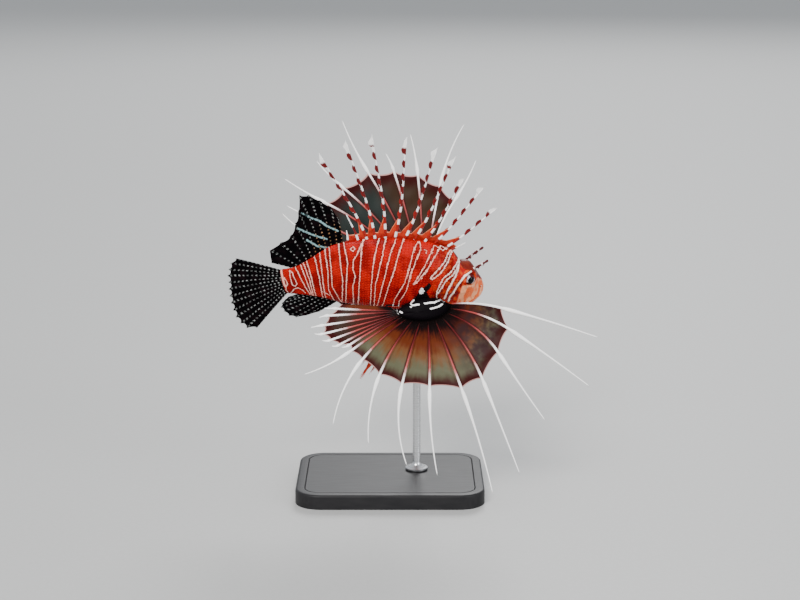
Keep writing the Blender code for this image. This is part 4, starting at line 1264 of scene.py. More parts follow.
def ray_finish():
    finish = Finish("ray_horn", Roughness=0.40, Specular_IOR_Level=0.3)
    share = finish.mark("share") + (finish.noise(2 * MM) - 0.5) * 0.12
    pale = finish.mark("pale")
    joints = (finish.mark("along") * 6.5).math("SINE") * 0.5 + 0.5
    colour = finish.blend(share.rise(0.04, 0.20), WEB_BLACK, RAY_RED)
    colour = finish.blend((share + pale).rise(0.30, 0.80), colour, RAY_PINK)
    colour = finish.blend((share + pale).rise(0.72, 1.00), colour, RAY_WHITE)
    colour = finish.blend(finish.noise(0.4 * MM).rise(0.42, 0.28) * share.rise(1.05, 0.9) * 0.4, colour,
                          DARK_PIGMENT_AND_SHADE)
    finish.set("Base Color", colour)
    finish.bump(joints, 0.03 * MM, 0.5)
    return finish


ray_horn = ray_finish()

# %% Rays of the great fans
RAY_SUNK = 0.8 * MM
RAY_ROOT_HALF = 0.36 * MM
RAY_EDGE_HALF = 0.78 * MM
RAY_FLAG_HALF = 1.30 * MM
RAY_TIP_HALF = 0.26 * MM
RAY_COLUMNS = 44
RAY_SIDES = 8
PALE_FRONT = 0.62
PALE_REAR = 0.16


def pectoral_rays(plane):
    bm = blank("share", "along", "pale")
    for i, path in enumerate(plane.paths):
        web = plane.rays[i][3] * MM
        whole = plane.rays[i][4] * MM
        start = plane.start(i)

        def course(u):
            s = u * (whole + RAY_SUNK) - RAY_SUNK
            sunk = start * min(s, 0)
            return pose @ (path(s) + sunk)

        def half(u):
            s = u * (whole + RAY_SUNK) - RAY_SUNK
            if s < web:
                return between(RAY_ROOT_HALF, RAY_EDGE_HALF, max(s, 0) / web)
            past = (s - web) / (whole - web)
            flag = (RAY_FLAG_HALF - RAY_EDGE_HALF) * near(past - 0.08, 0.18) * step_up(past / 0.06)
            return between(RAY_EDGE_HALF, RAY_TIP_HALF, past) + flag

        pale = PALE_FRONT * near(i, 1.1) + PALE_REAR * step_up((i - 10) / 4)
        roll(bm, RAY_COLUMNS, RAY_SIDES, course,
             lambda u: pose.to_3x3() @ plane.out.cross(path(u * whole + MM) - path(u * whole - MM)),
             half, lambda u: min(half(u), RAY_EDGE_HALF) * 0.9,
             share=lambda u, v: u * whole / web, along=lambda u, v: u * whole / MM,
             pale=lambda u, v: pale)
    return bm


piece("rays_right", pectoral_rays(right_plane), ray_horn, "pectoral_fin")
piece("rays_left", pectoral_rays(left_plane), ray_horn, "pectoral_fin")

# %% [markdown]
# The skin between the rays is thin enough to let light through. It is black at the base,
# maroon along the rays and the margin, and olive to grey-green in the middle of each panel. The
# rear panels are smoky maroon, and past the last ray a strip of skin laps onto the flank. A pale
# thread runs along the margin.

# %% The web finishes
WEB_MAROON = (0.026, 0.001, 0.001)
WEB_BROWN = (0.078, 0.014, 0.003)
WEB_OCHRE = (0.105, 0.042, 0.014)
WEB_GREEN = (0.070, 0.070, 0.040)
WEB_TEAL = (0.014, 0.019, 0.017)
WEB_TAN = (0.028, 0.014, 0.007)
WEB_SMOKE = (0.022, 0.007, 0.007)
WEB_THREAD = (0.42, 0.22, 0.20)


def web_finish(name, far_side):
    finish = Finish(name, Roughness=0.50, Specular_IOR_Level=0.08)
    reach = finish.mark("reach")
    cell = finish.mark("cell")
    ray = finish.mark("ray")
    course = finish.add("CombineXYZ", {}, {0: ray * 7, 1: reach * 2.5, 2: 0.0})
    streaks = finish.add("TexNoise", {}, {"Vector": course, "Scale": 1.0, "Detail": 3.0})
    clouds = finish.noise(5 * MM, 3)
    ragged = (clouds - 0.5) * 0.16 + (streaks - 0.5) * 0.26
    out = reach + ragged
    middle = cell * (1 - cell) * 4
    open_skin = (middle + ragged * 1.5).rise(0.18, 0.62) * out.rise(0.14, 0.36)
    open_skin = open_skin * (reach + ragged * 0.3).rise(0.97, 0.80)
    tint = finish.blend(out.rise(0.38, 0.60), WEB_BROWN, WEB_OCHRE)
    if far_side:
        cold = finish.blend(ray.rise(3.2, 4.6), WEB_TAN, WEB_TEAL)
        tint = finish.blend(out.rise(0.30, 0.55), WEB_MAROON, cold)
        smoke = ray.rise(6.5, 9.0)
    else:
        tint = finish.blend(out.rise(0.54, 0.80), tint, WEB_GREEN)
        front = ray.rise(4.2, 2.6)
        tint = finish.blend(front * (clouds + 0.35).rise(0.5, 1.0), tint, WEB_SMOKE)
        smoke = ray.rise(8.4, 10.5)
    tint = finish.blend(smoke * 0.85, tint, WEB_SMOKE)
    tint = finish.blend(ray.rise(15.8, 16.4), tint, WEB_BROWN)
    colour = finish.blend(out.rise(0.34, 0.10), WEB_MAROON, WEB_BLACK)
    colour = finish.blend(open_skin, colour, tint)
    colour = finish.blend(reach.rise(0.982, 0.992), colour, WEB_THREAD)
    finish.set("Base Color", colour)
    finish.bump(streaks + middle * 0.3, 0.08 * MM, 0.5)
    return finish


near_web = web_finish("near_web", False)
far_web = web_finish("far_web", True)

# %% Webs of the great fans
WEB_COLUMNS = 48
WEB_CELLS = 10
WEB_NOTCH = 0.035
WEB_BILLOW = 0.07
WEB_THICK = 0.16 * MM
WEB_LAP = 3.2 * MM


def pectoral_web(plane):
    """The skin between the rays, as one sheet that billows a little from ray to ray."""
    gaps = len(plane.rays)
    bm = blank("reach", "cell", "ray")

    def place(u, v):
        f = v * gaps
        i = min(int(f + 1e-6), gaps - 1)
        w = max(f - i, 0)
        if i == gaps - 1:
            s = u * plane.rays[-1][3] * MM * (1 - 0.1 * w)
            edge = plane.paths[-1](s)
            return pose @ (edge + (edge - plane.paths[-2](s)).normalized() * WEB_LAP * w)
        hump = 4 * w * (1 - w)
        reach = u * (1 - WEB_NOTCH * hump**0.7)
        a = plane.paths[i](reach * plane.rays[i][3] * MM)
        b = plane.paths[i + 1](reach * plane.rays[i + 1][3] * MM)
        billow = plane.out * (b - a).length * WEB_BILLOW * hump * math.sin(math.pi * min(u, 0.8))
        ripple = plane.out * 0.25 * MM * math.sin(u * 31 + f * 5) * hump * u
        return pose @ (a.lerp(b, w) - billow + ripple)

    spread(bm, WEB_COLUMNS, gaps * WEB_CELLS, place, reach=lambda u, v: u,
           cell=lambda u, v: (v * gaps) % 1, ray=lambda u, v: v * gaps)
    return bm


def thicken(made, thickness):
    """Gives a sheet its thickness, half to each side."""
    wall = made.modifiers.new("wall", "SOLIDIFY")
    wall.thickness = thickness
    wall.offset = 0
    return made


thicken(piece("web_right", pectoral_web(right_plane), near_web, "pectoral_fin", "pectoral_right"),
        WEB_THICK)
thicken(piece("web_left", pectoral_web(left_plane), far_web, "pectoral_fin", "pectoral_left"),
        WEB_THICK)

# %% [markdown]
# ## The fleshy bases
# Each fan springs from a flared stub, black and a little glossy, with a broken white line along
# its upper edge. It is a grid that runs from inside the flank out over the ray roots to its
# middle, and closes on itself round the rim.

# %% The base finish
BASE_GREY = (0.0035, 0.003, 0.0035)


def base_finish():
    finish = Finish("base_flesh", Roughness=0.45, Specular_IOR_Level=0.015)
    white = finish.mark("white") + (finish.noise(0.8 * MM) - 0.5) * 0.7
    grain = finish.noise(0.7 * MM, 3)
    specks = finish.noise(1.3 * MM, 0).rise(0.70, 0.76) * finish.mark("rear").rise(0.3, 0.7)
    colour = finish.blend(grain.rise(0.4, 0.7), PATCH_BLACK, BASE_GREY)
    colour = finish.blend(specks.math("MAXIMUM", white.rise(0.06, -0.10)), colour, RAY_WHITE)
    finish.set("Base Color", colour)
    finish.bump(grain, 0.12 * MM)
    return finish


base_flesh = base_finish()

# %% Bases
BASE_BAND = 0.85 * MM
BASE_GAP = 0.3 * MM
BASE_BULGE = 0.45
BASE_OPEN = 0.80
BASE_COLUMNS = 30
BASE_ROWS = 96
BASE_INSIDE = ((0.62, -0.5), (0.66, 0.0), (0.82, 0.6), (1.0, 1.0))
BASE_OVER = ((1.0, 0.0), (0.72, 0.9), (0.36, 1.3), (0.0, 1.5))


def rim_place(plane, v, high):
    """A point of the rim: along the ray roots, then back round the side without rays."""
    last = len(plane.rays) - 1
    if v <= BASE_OPEN:
        f = v / BASE_OPEN * last
        i = min(int(f), last - 1)
        run = plane.root(min(f + 0.25, last)) - plane.root(max(f - 0.25, 0))
        outward = plane.start(i).lerp(plane.start(i + 1), f - i).normalized()
        face = outward.cross(run).normalized() * BASE_BAND
        if face.dot(plane.out) < 0:
            face = -face
        return plane.root(f) - outward * BASE_GAP + face * (1 if high else -1)
    s = (v - BASE_OPEN) / (1 - BASE_OPEN)
    bulge = plane.second * plane.radii[1] * BASE_BULGE * math.sin(math.pi * s)
    return rim_place(plane, BASE_OPEN, high).lerp(rim_place(plane, 0, high), s) - bulge


def fleshy_base(plane, side):
    """The stub, from inside the flank over the rim to its middle."""
    low = [rim_place(plane, k / BASE_ROWS, False) for k in range(BASE_ROWS)]
    high = [rim_place(plane, k / BASE_ROWS, True) for k in range(BASE_ROWS)]
    reach = plane.out.dot(sum(low, Vector()) / BASE_ROWS - plane.centre) - plane.flank
    middle_place = sum(high, Vector()) / BASE_ROWS
    steps = [k / (len(BASE_INSIDE) - 1) for k in range(len(BASE_INSIDE))]
    share_at = smooth_table(steps, [a for a, b in BASE_INSIDE])
    way_at = smooth_table(steps, [b for a, b in BASE_INSIDE])
    over_at = smooth_table(steps, [a for a, b in BASE_OVER])
    dome_at = smooth_table(steps, [b for a, b in BASE_OVER])

    def place(u, v):
        k = round(v * BASE_ROWS) % BASE_ROWS
        if u <= 0.5:
            x = max(u * 2 - 0.02, 0)
            height = plane.out.dot(low[k] - plane.centre)
            sink = reach * (1 - way_at(x))
            flat = low[k] - plane.centre - plane.out * height
            share = share_at(x) * min(u * BASE_COLUMNS, 1)
            return pose @ (plane.centre + flat * share + plane.out * (height - sink)
                           + plane.lean * sink)
        x = u * 2 - 1
        return pose @ (middle_place.lerp(high[k], over_at(x)) + plane.out * dome_at(x) * MM)

    bm = blank("white", "rear")
    spread(bm, BASE_COLUMNS, BASE_ROWS, place, white=lambda u, v: 0.0,
           rear=lambda u, v: max(0.0, 1 - abs(v - 0.62) * 9) * near(u - 0.45, 0.12))
    white_layer = bm.verts.layers.float["white"]
    mirror = pose @ Matrix.Diagonal((1, -1 if side > 0 else 1, 1, 1)) @ pose.inverted()
    spots = np.array([pixel_of(mirror @ v.co) for v in bm.verts])
    away = np.minimum.reduce([distance_to(spots, line) for line in BASE_STROKES])
    away = away * PIXEL / MM - THICK * 0.8
    for vert, value in zip(bm.verts, away):
        vert[white_layer] = float(value)
    return bm


piece("base_right", fleshy_base(right_plane, -1), base_flesh, "fin_base", "pectoral_base_right")
piece("base_left", fleshy_base(left_plane, 1), base_flesh, "fin_base", "pectoral_base_left")

# %% [markdown]
# ## The spiny dorsal fin
# Twelve slender venomous spines stand along the back, each banded maroon and white, with a flag
# of skin behind it. Low flame-shaped skin joins their feet. Spines are tapering tubes, the flags
# and the skin are thin sheets.

# %% The spine finishes
SPINE_MAROON = (0.125, 0.001, 0.001)
SPINE_RED = (0.30, 0.006, 0.002)
FLAME_ORANGE = (0.52, 0.030, 0.005)
BAND_MM = 8.6
BAND_WHITE = 0.40


def spine_finish():
    finish = Finish("spine_horn", Roughness=0.36, Specular_IOR_Level=0.3)
    down = finish.mark("down") + (finish.noise(1.2 * MM) - 0.5) * 1.6
    number = finish.mark("number")
    wave = (down / BAND_MM + number * 0.37).math("FRACT")
    white = (wave - 0.5).size().rise(BAND_WHITE / 2 + 0.04, BAND_WHITE / 2 - 0.03)
    white = white.math("MAXIMUM", down.rise(5.5, 4.0))
    colour = finish.blend(finish.mark("reach").rise(0.45, 0.10), SPINE_MAROON, SPINE_RED)
    colour = finish.blend(finish.noise(0.6 * MM).rise(0.5, 0.3) * 0.4, colour, DARK_PIGMENT_AND_SHADE)
    colour = finish.blend(white, colour, RAY_WHITE)
    finish.set("Base Color", colour)
    finish.bump(finish.noise(0.5 * MM), 0.05 * MM)
    return finish


def flame_finish():
    finish = Finish("flame_web", Roughness=0.42, Specular_IOR_Level=0.2)
    height = finish.mark("height")
    clouds = finish.noise(2.4 * MM, 3)
    colour = finish.blend((height + (clouds - 0.5) * 4).rise(1.0, 5.0), SPINE_RED, FLAME_ORANGE)
    rim = finish.mark("reach").rise(0.86, 0.98)
    colour = finish.blend(rim * 0.5, colour, CREAM)
    colour = finish.blend(clouds.rise(0.5, 0.3) * 0.5, colour, SPINE_MAROON)
    finish.set("Base Color", colour)
    finish.bump(clouds, 0.10 * MM)
    return finish


spine_horn = spine_finish()
flame_web = flame_finish()

# %% Spines
SPINE_T = (.266, .292, .345, .382, .421, .456, .494, .531, .571, .603, .638, .679)
SPINES = ((61, 10), (48, 40), (37, 48), (28, 48), (23, 60), (17, 63), (6, 67), (-6, 69), (-14, 67),
          (-25, 63), (-21, 19), (-5, 8))
SPINE_HALF = 0.92 * MM
SPINE_TAPER = 0.74
SPINE_SUNK = 1.5 * MM
SPINE_BOW = 0.035
FLAG_MM = 1.7
last_spine = len(SPINES) - 1
spine_station = smooth_table(range(len(SPINES)), SPINE_T)


def spine_root(f):
    """Where spine f, counted from 0, leaves the back."""
    return skin_place(spine_station(f), 0)


def spine_course(i):
    """The path of a spine: a function of the share of its length."""
    lean_deg, long = SPINES[i]
    lean = math.radians(lean_deg)
    along = pose.to_3x3() @ Vector((math.sin(lean), 0, math.cos(lean)))
    back = pose.to_3x3() @ Vector((-math.cos(lean), 0, math.sin(lean)))
    root = spine_root(i)

    def course(s):
        bow = back * math.sin(math.pi * min(max(s, 0), 1)) * long * MM * -SPINE_BOW
        return root + along * long * MM * s + bow * (1 - s)

    return course, along, back


def dorsal_spines():
    bm = blank("down", "number", "reach")
    for i, (lean_deg, long) in enumerate(SPINES):
        course, along, back = spine_course(i)
        sunk = SPINE_SUNK / (long * MM)
        roll(bm, 40, 10, lambda u: course(u * (1 + sunk) - sunk), lambda u: back,
             lambda u: SPINE_HALF * (1 - SPINE_TAPER * u), lambda u: SPINE_HALF * (1 - SPINE_TAPER * u),
             down=lambda u, v: (1 - u) * long, number=lambda u, v: i, reach=lambda u, v: u)
        if long < 30:
            continue

        def flag(u, v):
            s = between(0.16, 1.04, u)
            phase = (1 - s) * long / BAND_MM + i * 0.37
            red = 0.5 + 0.5 * math.cos(2 * math.pi * phase)
            tip = 0.8 * near(u - 0.90, 0.10)
            wide = (0.25 + 0.75 * red + tip) * FLAG_MM * MM * min(1, (1 - u) * 14, u * 14)
            lean_out = Vector((0, 1, 0)) * math.sin(u * 9 + i) * 0.25 * MM * v
            return course(min(s, 1)) + along * max(s - 1, 0) * long * MM + back * wide * v + lean_out

        spread(bm, 60, 4, flag, down=lambda u, v: (1 - between(0.16, 1.04, u)) * long,
               number=lambda u, v: i, reach=lambda u, v: u)
    return bm


spines = piece("spines", dorsal_spines(), spine_horn, "spiny_fin", "dorsal_spines")

# %% Flames between the feet of the spines
FLAME_SHARE = 0.35
FLAME_MOST = 17.5 * MM
FLAME_LEAST = 4.2 * MM
FLAME_SUNK = 0.8 * MM
FLAME_CELLS = 12


def flame_web_sheet():
    """Skin that climbs the rear of each spine and falls to the foot of the next."""
    bm = blank("reach", "height")
    courses = [spine_course(i) for i in range(len(SPINES))]
    heights = [min(FLAME_SHARE * long * MM, FLAME_MOST) for lean, long in SPINES]

    def top(v):
        f = v * last_spine
        i = min(int(f + 1e-6), last_spine - 1)
        w = f - i
        fall = (1 - min(w / 0.80, 1)) ** 1.15 * heights[i]
        climb = step_up((w - 0.80) / 0.20) * heights[i + 1] * 0.30
        return max(fall, climb, FLAME_LEAST)

    def place(u, v):
        f = v * last_spine
        i = min(int(f + 1e-6), last_spine - 1)
        w = f - i
        rise = u * (top(v) + FLAME_SUNK) - FLAME_SUNK
        hug = courses[i][0](rise / (SPINES[i][1] * MM))
        free = spine_root(f) + courses[i][1].lerp(courses[i + 1][1], w).normalized() * rise
        foot = spine_root(f) - spine_root(i)
        pull = step_up(rise / heights[i]) * (1 - w)
        return free.lerp(hug + foot * (1 - 0.6 * u), pull)

    spread(bm, 14, last_spine * FLAME_CELLS, place, reach=lambda u, v: u,
           height=lambda u, v: u * top(v) / MM)
    return bm


thicken(piece("spine_flames", flame_web_sheet(), flame_web, "spiny_fin"), 0.30 * MM)

# %% [markdown]
# ## The dotted fins
# The rear half of the dorsal fin, the tail fin and the anal fin are near black in the
# photograph, with rows of small white dots along and between the rays. One kind of fan makes
# all of them, and the pelvic fins too: roots along a line, and for each ray a direction and a
# length that change smoothly from the first to the last.

# %% A fan of soft rays
class Fan:
    """Soft rays from a line of roots, joined by skin. f runs from 0 to 1 across the rays."""

    def __init__(self, count, root, direction, length, droop, width):
        self.count = count
        self.root = root
        self.direction = direction
        self.length = length
        self.droop = droop
        self.width = width

    def point(self, f, share):
        along = self.direction(f) * share + self.droop * share * share
        return pose @ (self.root(f) + along * self.length(f))

    def gap(self, f, share):
        """Distance between neighbouring rays, in mm."""
        step = 0.5 / (self.count - 1)
        a = max(f - step, 0)
        b = min(f + step, 1)
        return (self.point(b, share) - self.point(a, share)).length / MM / (b - a) / (self.count - 1)

    def web(self, notch, cells=6, columns=30, ripple=0.25):
        """The skin between the rays."""
        last = self.count - 1
        bm = blank("along", "ray", "gap", "reach")

        def place(u, v):
            w = (v * last) % 1
            share = u * (1 - notch * (4 * w * (1 - w)) ** 0.6)
            wave = Vector((0, 1, 0)) * ripple * MM * math.sin(v * last * math.pi) * u
            return self.point(v, share) + wave

        spread(bm, columns, last * cells, place, along=lambda u, v: u * self.length(v) / MM,
               ray=lambda u, v: v * last, gap=lambda u, v: self.gap(v, u), reach=lambda u, v: u)
        return bm

    def rays(self):
        """The rays themselves, forked near their tips as soft rays are."""
        last = self.count - 1
        bm = blank("along", "ray", "gap", "reach")
        for i in range(self.count):
            f = i / last
            flat = self.point(min(f + 0.1, 1), 0.7) - self.point(max(f - 0.1, 0), 0.7)
            for fork in (-1, 1):
                spray = fork * 0.16 / last

                def course(u):
                    side = min(max(f + spray * step_up((u - 0.45) / 0.5), 0), 1)
                    return self.point(side, u)

                roll(bm, 22, 6, course, lambda u: flat,
                     lambda u: self.width * (1 - 0.72 * u), lambda u: self.width * (1 - 0.72 * u),
                     along=lambda u, v: u * self.length(f) / MM, ray=lambda u, v: i,
                     gap=lambda u, v: self.gap(f, u), reach=lambda u, v: u)
        return bm


def by_index(values):
    """A smooth function of 0 to 1 through evenly spaced values."""
    last = len(values) - 1
    return smooth_table([k / last for k in range(last + 1)], values)


# %% The dotted finish
DOT_MM = 2.6
DOT_RADIUS = 0.48
DOT_WHITE = (0.27, 0.28, 0.27)
DOT_TAN = (0.38, 0.21, 0.10)
FIN_BLACK = (0.002, 0.0015, 0.002)
FIN_SMOKE = (0.006, 0.003, 0.004)
# Painted highlight: teal for the rear dorsal fin, where the far fan shows through its thin skin.
HIGHLIGHT_TEAL = (0.26, 0.44, 0.46)


def dotted_finish(name, with_highlights):
    finish = Finish(name, Roughness=0.60, Specular_IOR_Level=0.0)
    row = finish.mark("ray")
    lane = (row + 0.5).math("FLOOR")
    across = (row - lane) * finish.mark("gap")
    shift = ((lane * 12.9898).math("SINE") * 43.758).math("FRACT")
    step = finish.mark("along") / DOT_MM + shift
    along = (step.math("FRACT") - 0.5) * DOT_MM
    jitter = (finish.noise(1.2 * MM, 1) - 0.5) * 0.5
    away = (across * across + along * along).math("SQRT") + jitter
    chance = ((lane * 7.13 + step.math("FLOOR") * 3.71).math("SINE") * 91.7).math("FRACT")
    dots = away.rise(DOT_RADIUS + 0.12, DOT_RADIUS - 0.12) * (chance * 0.75 + 0.25)
    clouds = finish.noise(4 * MM, 3)
    colour = finish.blend(clouds.rise(0.45, 0.7), FIN_BLACK, FIN_SMOKE)
    # The rear dorsal fin takes painted highlights: teal streaks near the drawn lines, where the far fan
    # shows through it.
    if with_highlights:
        teal_highlight = finish.mark("teal_highlight") + (finish.noise(1.6 * MM) - 0.5) * 1.2
        colour = finish.blend(teal_highlight.rise(0.75, 0.25) * 0.9, colour, HIGHLIGHT_TEAL)
        tan = (finish.mark("reach") * 1.2 + row * 0.12).rise(1.05, 0.70)
        colour = finish.blend(dots, colour, finish.blend(tan, DOT_WHITE, DOT_TAN))
    else:
        colour = finish.blend(dots, colour, DOT_WHITE)
    finish.set("Base Color", colour)
    finish.bump(clouds, 0.06 * MM)
    return finish


dotted = dotted_finish("dotted_fin", False)
dotted_highlighted = dotted_finish("dotted_fin_highlighted", True)

# %% Rear dorsal fin and anal fin
SOFT_DORSAL_T = (0.702, 0.930)
SOFT_DORSAL_RAYS = ((-2, 18), (-3, 27), (0, 33), (3, 39), (5, 41), (6, 32), (8, 26), (15, 20),
                    (28, 19), (45, 19), (64, 13))
ANAL_T = (0.755, 0.925)
ANAL_RAYS = ((59, 14), (60, 20), (61, 24), (64, 25), (69, 24), (74, 22), (77, 18), (78, 13), (78, 8))
SOFT_RAY_HALF = 0.30 * MM
MIDDLE_DROOP = Vector((-0.08, 0, 0))
FIN_SUNK = 0.6 * MM


def middle_fan(t_range, rays, side):
    """The rear dorsal fin (side 1) or the anal fin (side -1)."""
    lean_at = by_index([lean for lean, length in rays])
    length_at = by_index([length for lean, length in rays])

    def root(f):
        t = between(*t_range, f)
        return pose.inverted() @ skin_place(t, 0 if side > 0 else math.pi, -FIN_SUNK)

    def direction(f):
        forward, left, up = backbone(between(*t_range, f))[1:4]
        lean = math.radians(lean_at(f))
        return up * side * math.cos(lean) - forward * math.sin(lean)

    return Fan(len(rays), root, direction, lambda f: length_at(f) * MM, MIDDLE_DROOP, SOFT_RAY_HALF)


def put_fan(name, fan, finish, slot, node, notch=0.05):
    web = thicken(piece(name + "_web", fan.web(notch), finish, slot, node), 0.14 * MM)
    rays = piece(name + "_rays", fan.rays(), finish, slot)
    return web, rays


# Lines of painted teal highlight on the rear dorsal fin, in pixels, where the far fan shows through it.
HIGHLIGHT_LINES = (((302, 213), (311, 218), (320, 221), (327, 226), (338, 231)),
           ((297, 228), (306, 232), (316, 236), (327, 239)), ((307, 240), (317, 246), (329, 248)))
for part in put_fan("rear_dorsal", middle_fan(SOFT_DORSAL_T, SOFT_DORSAL_RAYS, 1), dotted_highlighted,
        "spotted_fin", "soft_dorsal_fin"):
    seen = np.array([pixel_of(v.co) for v in part.data.vertices])
    away = np.minimum.reduce([distance_to(seen, [Vector(p) for p in line]) for line in HIGHLIGHT_LINES])
    keep_marks(part.data, {"teal_highlight": away * PIXEL / MM})
put_fan("anal", middle_fan(ANAL_T, ANAL_RAYS, -1), dotted, "spotted_fin", "anal_fin")

# %% Tail fin
TAIL_END = 0.985
CAUDAL_LENGTHS = (30, 33, 34, 35, 35, 36, 37, 38, 39, 40, 40, 39, 34)
CAUDAL_FAN_DEG = 70
CAUDAL_TURN_DEG = -7
CAUDAL_ROOT_SHARE = 0.86


def tail_fan():
    centre, forward, left, up, (top, bottom, half_width) = backbone(TAIL_END)
    start = centre + up * (top + bottom) / 2 * STANDARD_LENGTH + forward * FIN_SUNK
    reach = (top - bottom) / 2 * STANDARD_LENGTH * CAUDAL_ROOT_SHARE
    length_at = by_index(CAUDAL_LENGTHS)

    def direction(f):
        turn = math.radians((0.5 - f) * CAUDAL_FAN_DEG + CAUDAL_TURN_DEG)
        return up * math.sin(turn) - forward * math.cos(turn)

    return Fan(len(CAUDAL_LENGTHS), lambda f: start + up * reach * (1 - 2 * f), direction,
               lambda f: length_at(f) * MM, left * -0.05, SOFT_RAY_HALF)


put_fan("tail", tail_fan(), dotted, "spotted_fin", "caudal_fin")

# %% [markdown]
# ## The pelvic fins
# Two long fins hang from the belly, mostly hidden behind the near fan. What shows of them, near
# their tips, is orange red. Nearer to the belly they are maroon with white spots on the rays, as
# the species has them.

# %% Pelvic fins
PELVIC_T = (0.381, 0.426)
PELVIC_ANGLE_DEG = 168
PELVIC_LENGTH = (34, 46, 52, 42, 36, 30)
PELVIC_SWEEP_DEG = (22, 25, 29, 34, 40, 49)
PELVIC_SPREAD_DEG = 13
PELVIC_SUNK = 1.0 * MM
PELVIC_NOTCH = 0.20
PELVIC_FAR_SHARE = 0.86


def pelvic_finish():
    finish = Finish("pelvic_web", Roughness=0.42, Specular_IOR_Level=0.2)
    row = finish.mark("ray")
    reach = finish.mark("reach")
    across = (row - (row + 0.5).math("FLOOR")) * finish.mark("gap")
    step = finish.mark("along") / 4.2 + (row + 0.5).math("FLOOR") * 0.37
    along = (step.math("FRACT") - 0.5) * 4.2
    away = (across * across + along * along).math("SQRT") + (finish.noise(1.2 * MM) - 0.5) * 0.6
    clouds = finish.noise(5 * MM, 3)
    colour = finish.blend((reach + (clouds - 0.5) * 0.4).rise(0.50, 0.75), WEB_MAROON, FLAME_ORANGE)
    colour = finish.blend(away.rise(0.85, 0.65) * reach.rise(0.70, 0.60), colour, RAY_WHITE)
    finish.set("Base Color", colour)
    finish.bump(clouds, 0.1 * MM)
    return finish


def pelvic_fan(side):
    angle = math.radians(PELVIC_ANGLE_DEG) * side
    spread_angle = math.radians(PELVIC_SPREAD_DEG)
    sweep_at = by_index(PELVIC_SWEEP_DEG)
    length_at = by_index(PELVIC_LENGTH)

    def direction(f):
        sweep = math.radians(sweep_at(f))
        return Vector((-math.sin(sweep), side * math.sin(spread_angle),
                       -math.cos(sweep) * math.cos(spread_angle)))

    def root(f):
        return pose.inverted() @ skin_place(between(*PELVIC_T, f), angle, -PELVIC_SUNK)

    share = PELVIC_FAR_SHARE if side > 0 else 1
    return Fan(len(PELVIC_LENGTH), root, direction, lambda f: length_at(f) * share * MM,
               Vector((-0.06, side * 0.05, 0)), 0.45 * MM)


pelvic_web = pelvic_finish()
for name, side in (("left", 1), ("right", -1)):
    put_fan("belly_fin_" + name, pelvic_fan(side), pelvic_web, "pelvic_fin", "pelvic_" + name,
            PELVIC_NOTCH)

# %% [markdown]
# ## The stand
# The fish swims in mid water, so the model hovers on a rod. The board is painted wood with
# rounded corners and a shallow groove, and the rod is turned steel with a foot and a collar
# that meets the belly. The board takes the size and place of its solid, and the rod takes the
# height of its foot from its solid.

# %% Stand finishes
def board_finish():
    finish = Finish("painted_board", Specular_IOR_Level=0.12)
    grain = finish.add("TexNoise", {}, {"Vector": finish.add(
        "Mapping", {}, {"Vector": finish.here, "Scale": (12.0, 160.0, 60.0)}), "Scale": 6.0,
        "Detail": 5.0})
    finish.set("Base Color", finish.blend(grain, (0.008, 0.008, 0.009), (0.022, 0.021, 0.022)))
    finish.set("Roughness", grain * 0.20 + 0.34)
    finish.bump(grain, 0.05 * MM, 0.5)
    return finish


def steel_finish():
    finish = Finish("turned_steel", Metallic=1.0, Roughness=0.28)
    rings = finish.add("TexNoise", {}, {"Vector": finish.add(
        "Mapping", {}, {"Vector": finish.here, "Scale": (10.0, 10.0, 2500.0)}), "Scale": 1.0,
        "Detail": 3.0})
    finish.set("Base Color", finish.blend(rings, (0.52, 0.52, 0.53), (0.66, 0.66, 0.66)))
    finish.set("Roughness", rings * 0.18 + 0.20)
    finish.bump(rings, 0.01 * MM, 0.4)
    return finish


painted_board = board_finish()
turned_steel = steel_finish()

# %% Board
BOARD_CORNER = 16 * MM
BOARD_EDGE = 1.5 * MM
GROOVE_IN = 4 * MM
GROOVE_WIDE = 0.8 * MM
GROOVE_DEEP = 0.5 * MM


def board():
    """A rounded board with an eased edge and a groove round its top."""
    low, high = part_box("stand_base")
    size = high - low
    bm = bmesh.new()
    bmesh.ops.create_cube(bm, size=1)
    bmesh.ops.scale(bm, vec=size, verts=bm.verts)
    bmesh.ops.translate(bm, vec=(low + high) / 2, verts=bm.verts)
    upright = [e for e in bm.edges if abs(e.verts[0].co.z - e.verts[1].co.z) > MM]
    bmesh.ops.bevel(bm, geom=upright, offset=BOARD_CORNER, segments=16, profile=0.5,
                    affect="EDGES", material=-1)
    rim = [e for e in bm.edges if min(v.co.z for v in e.verts) > high.z - 0.01 * MM]
    bmesh.ops.bevel(bm, geom=rim, offset=BOARD_EDGE, segments=5, profile=0.5, affect="EDGES",
                    material=-1)
    top = [f for f in bm.faces if f.normal.z > 0.99 and f.calc_center_median().z > high.z - 0.01 * MM]
    bmesh.ops.inset_region(bm, faces=top, thickness=GROOVE_IN)
    bmesh.ops.inset_region(bm, faces=top, thickness=GROOVE_WIDE / 2, depth=-GROOVE_DEEP)
    bmesh.ops.inset_region(bm, faces=top, thickness=GROOVE_WIDE / 2, depth=GROOVE_DEEP)
    return bm


stand_board = piece("board", board(), painted_board, "stand_board", "stand_base")
stand_board.data.set_sharp_from_angle(angle=math.radians(40))

# %% Rod
ROD_FOOT = 7.0 * MM
ROD_RADIUS = 2.4 * MM
ROD_COLLAR = 3.6 * MM
ROD_T = 0.325
ROD_STEPS = 56


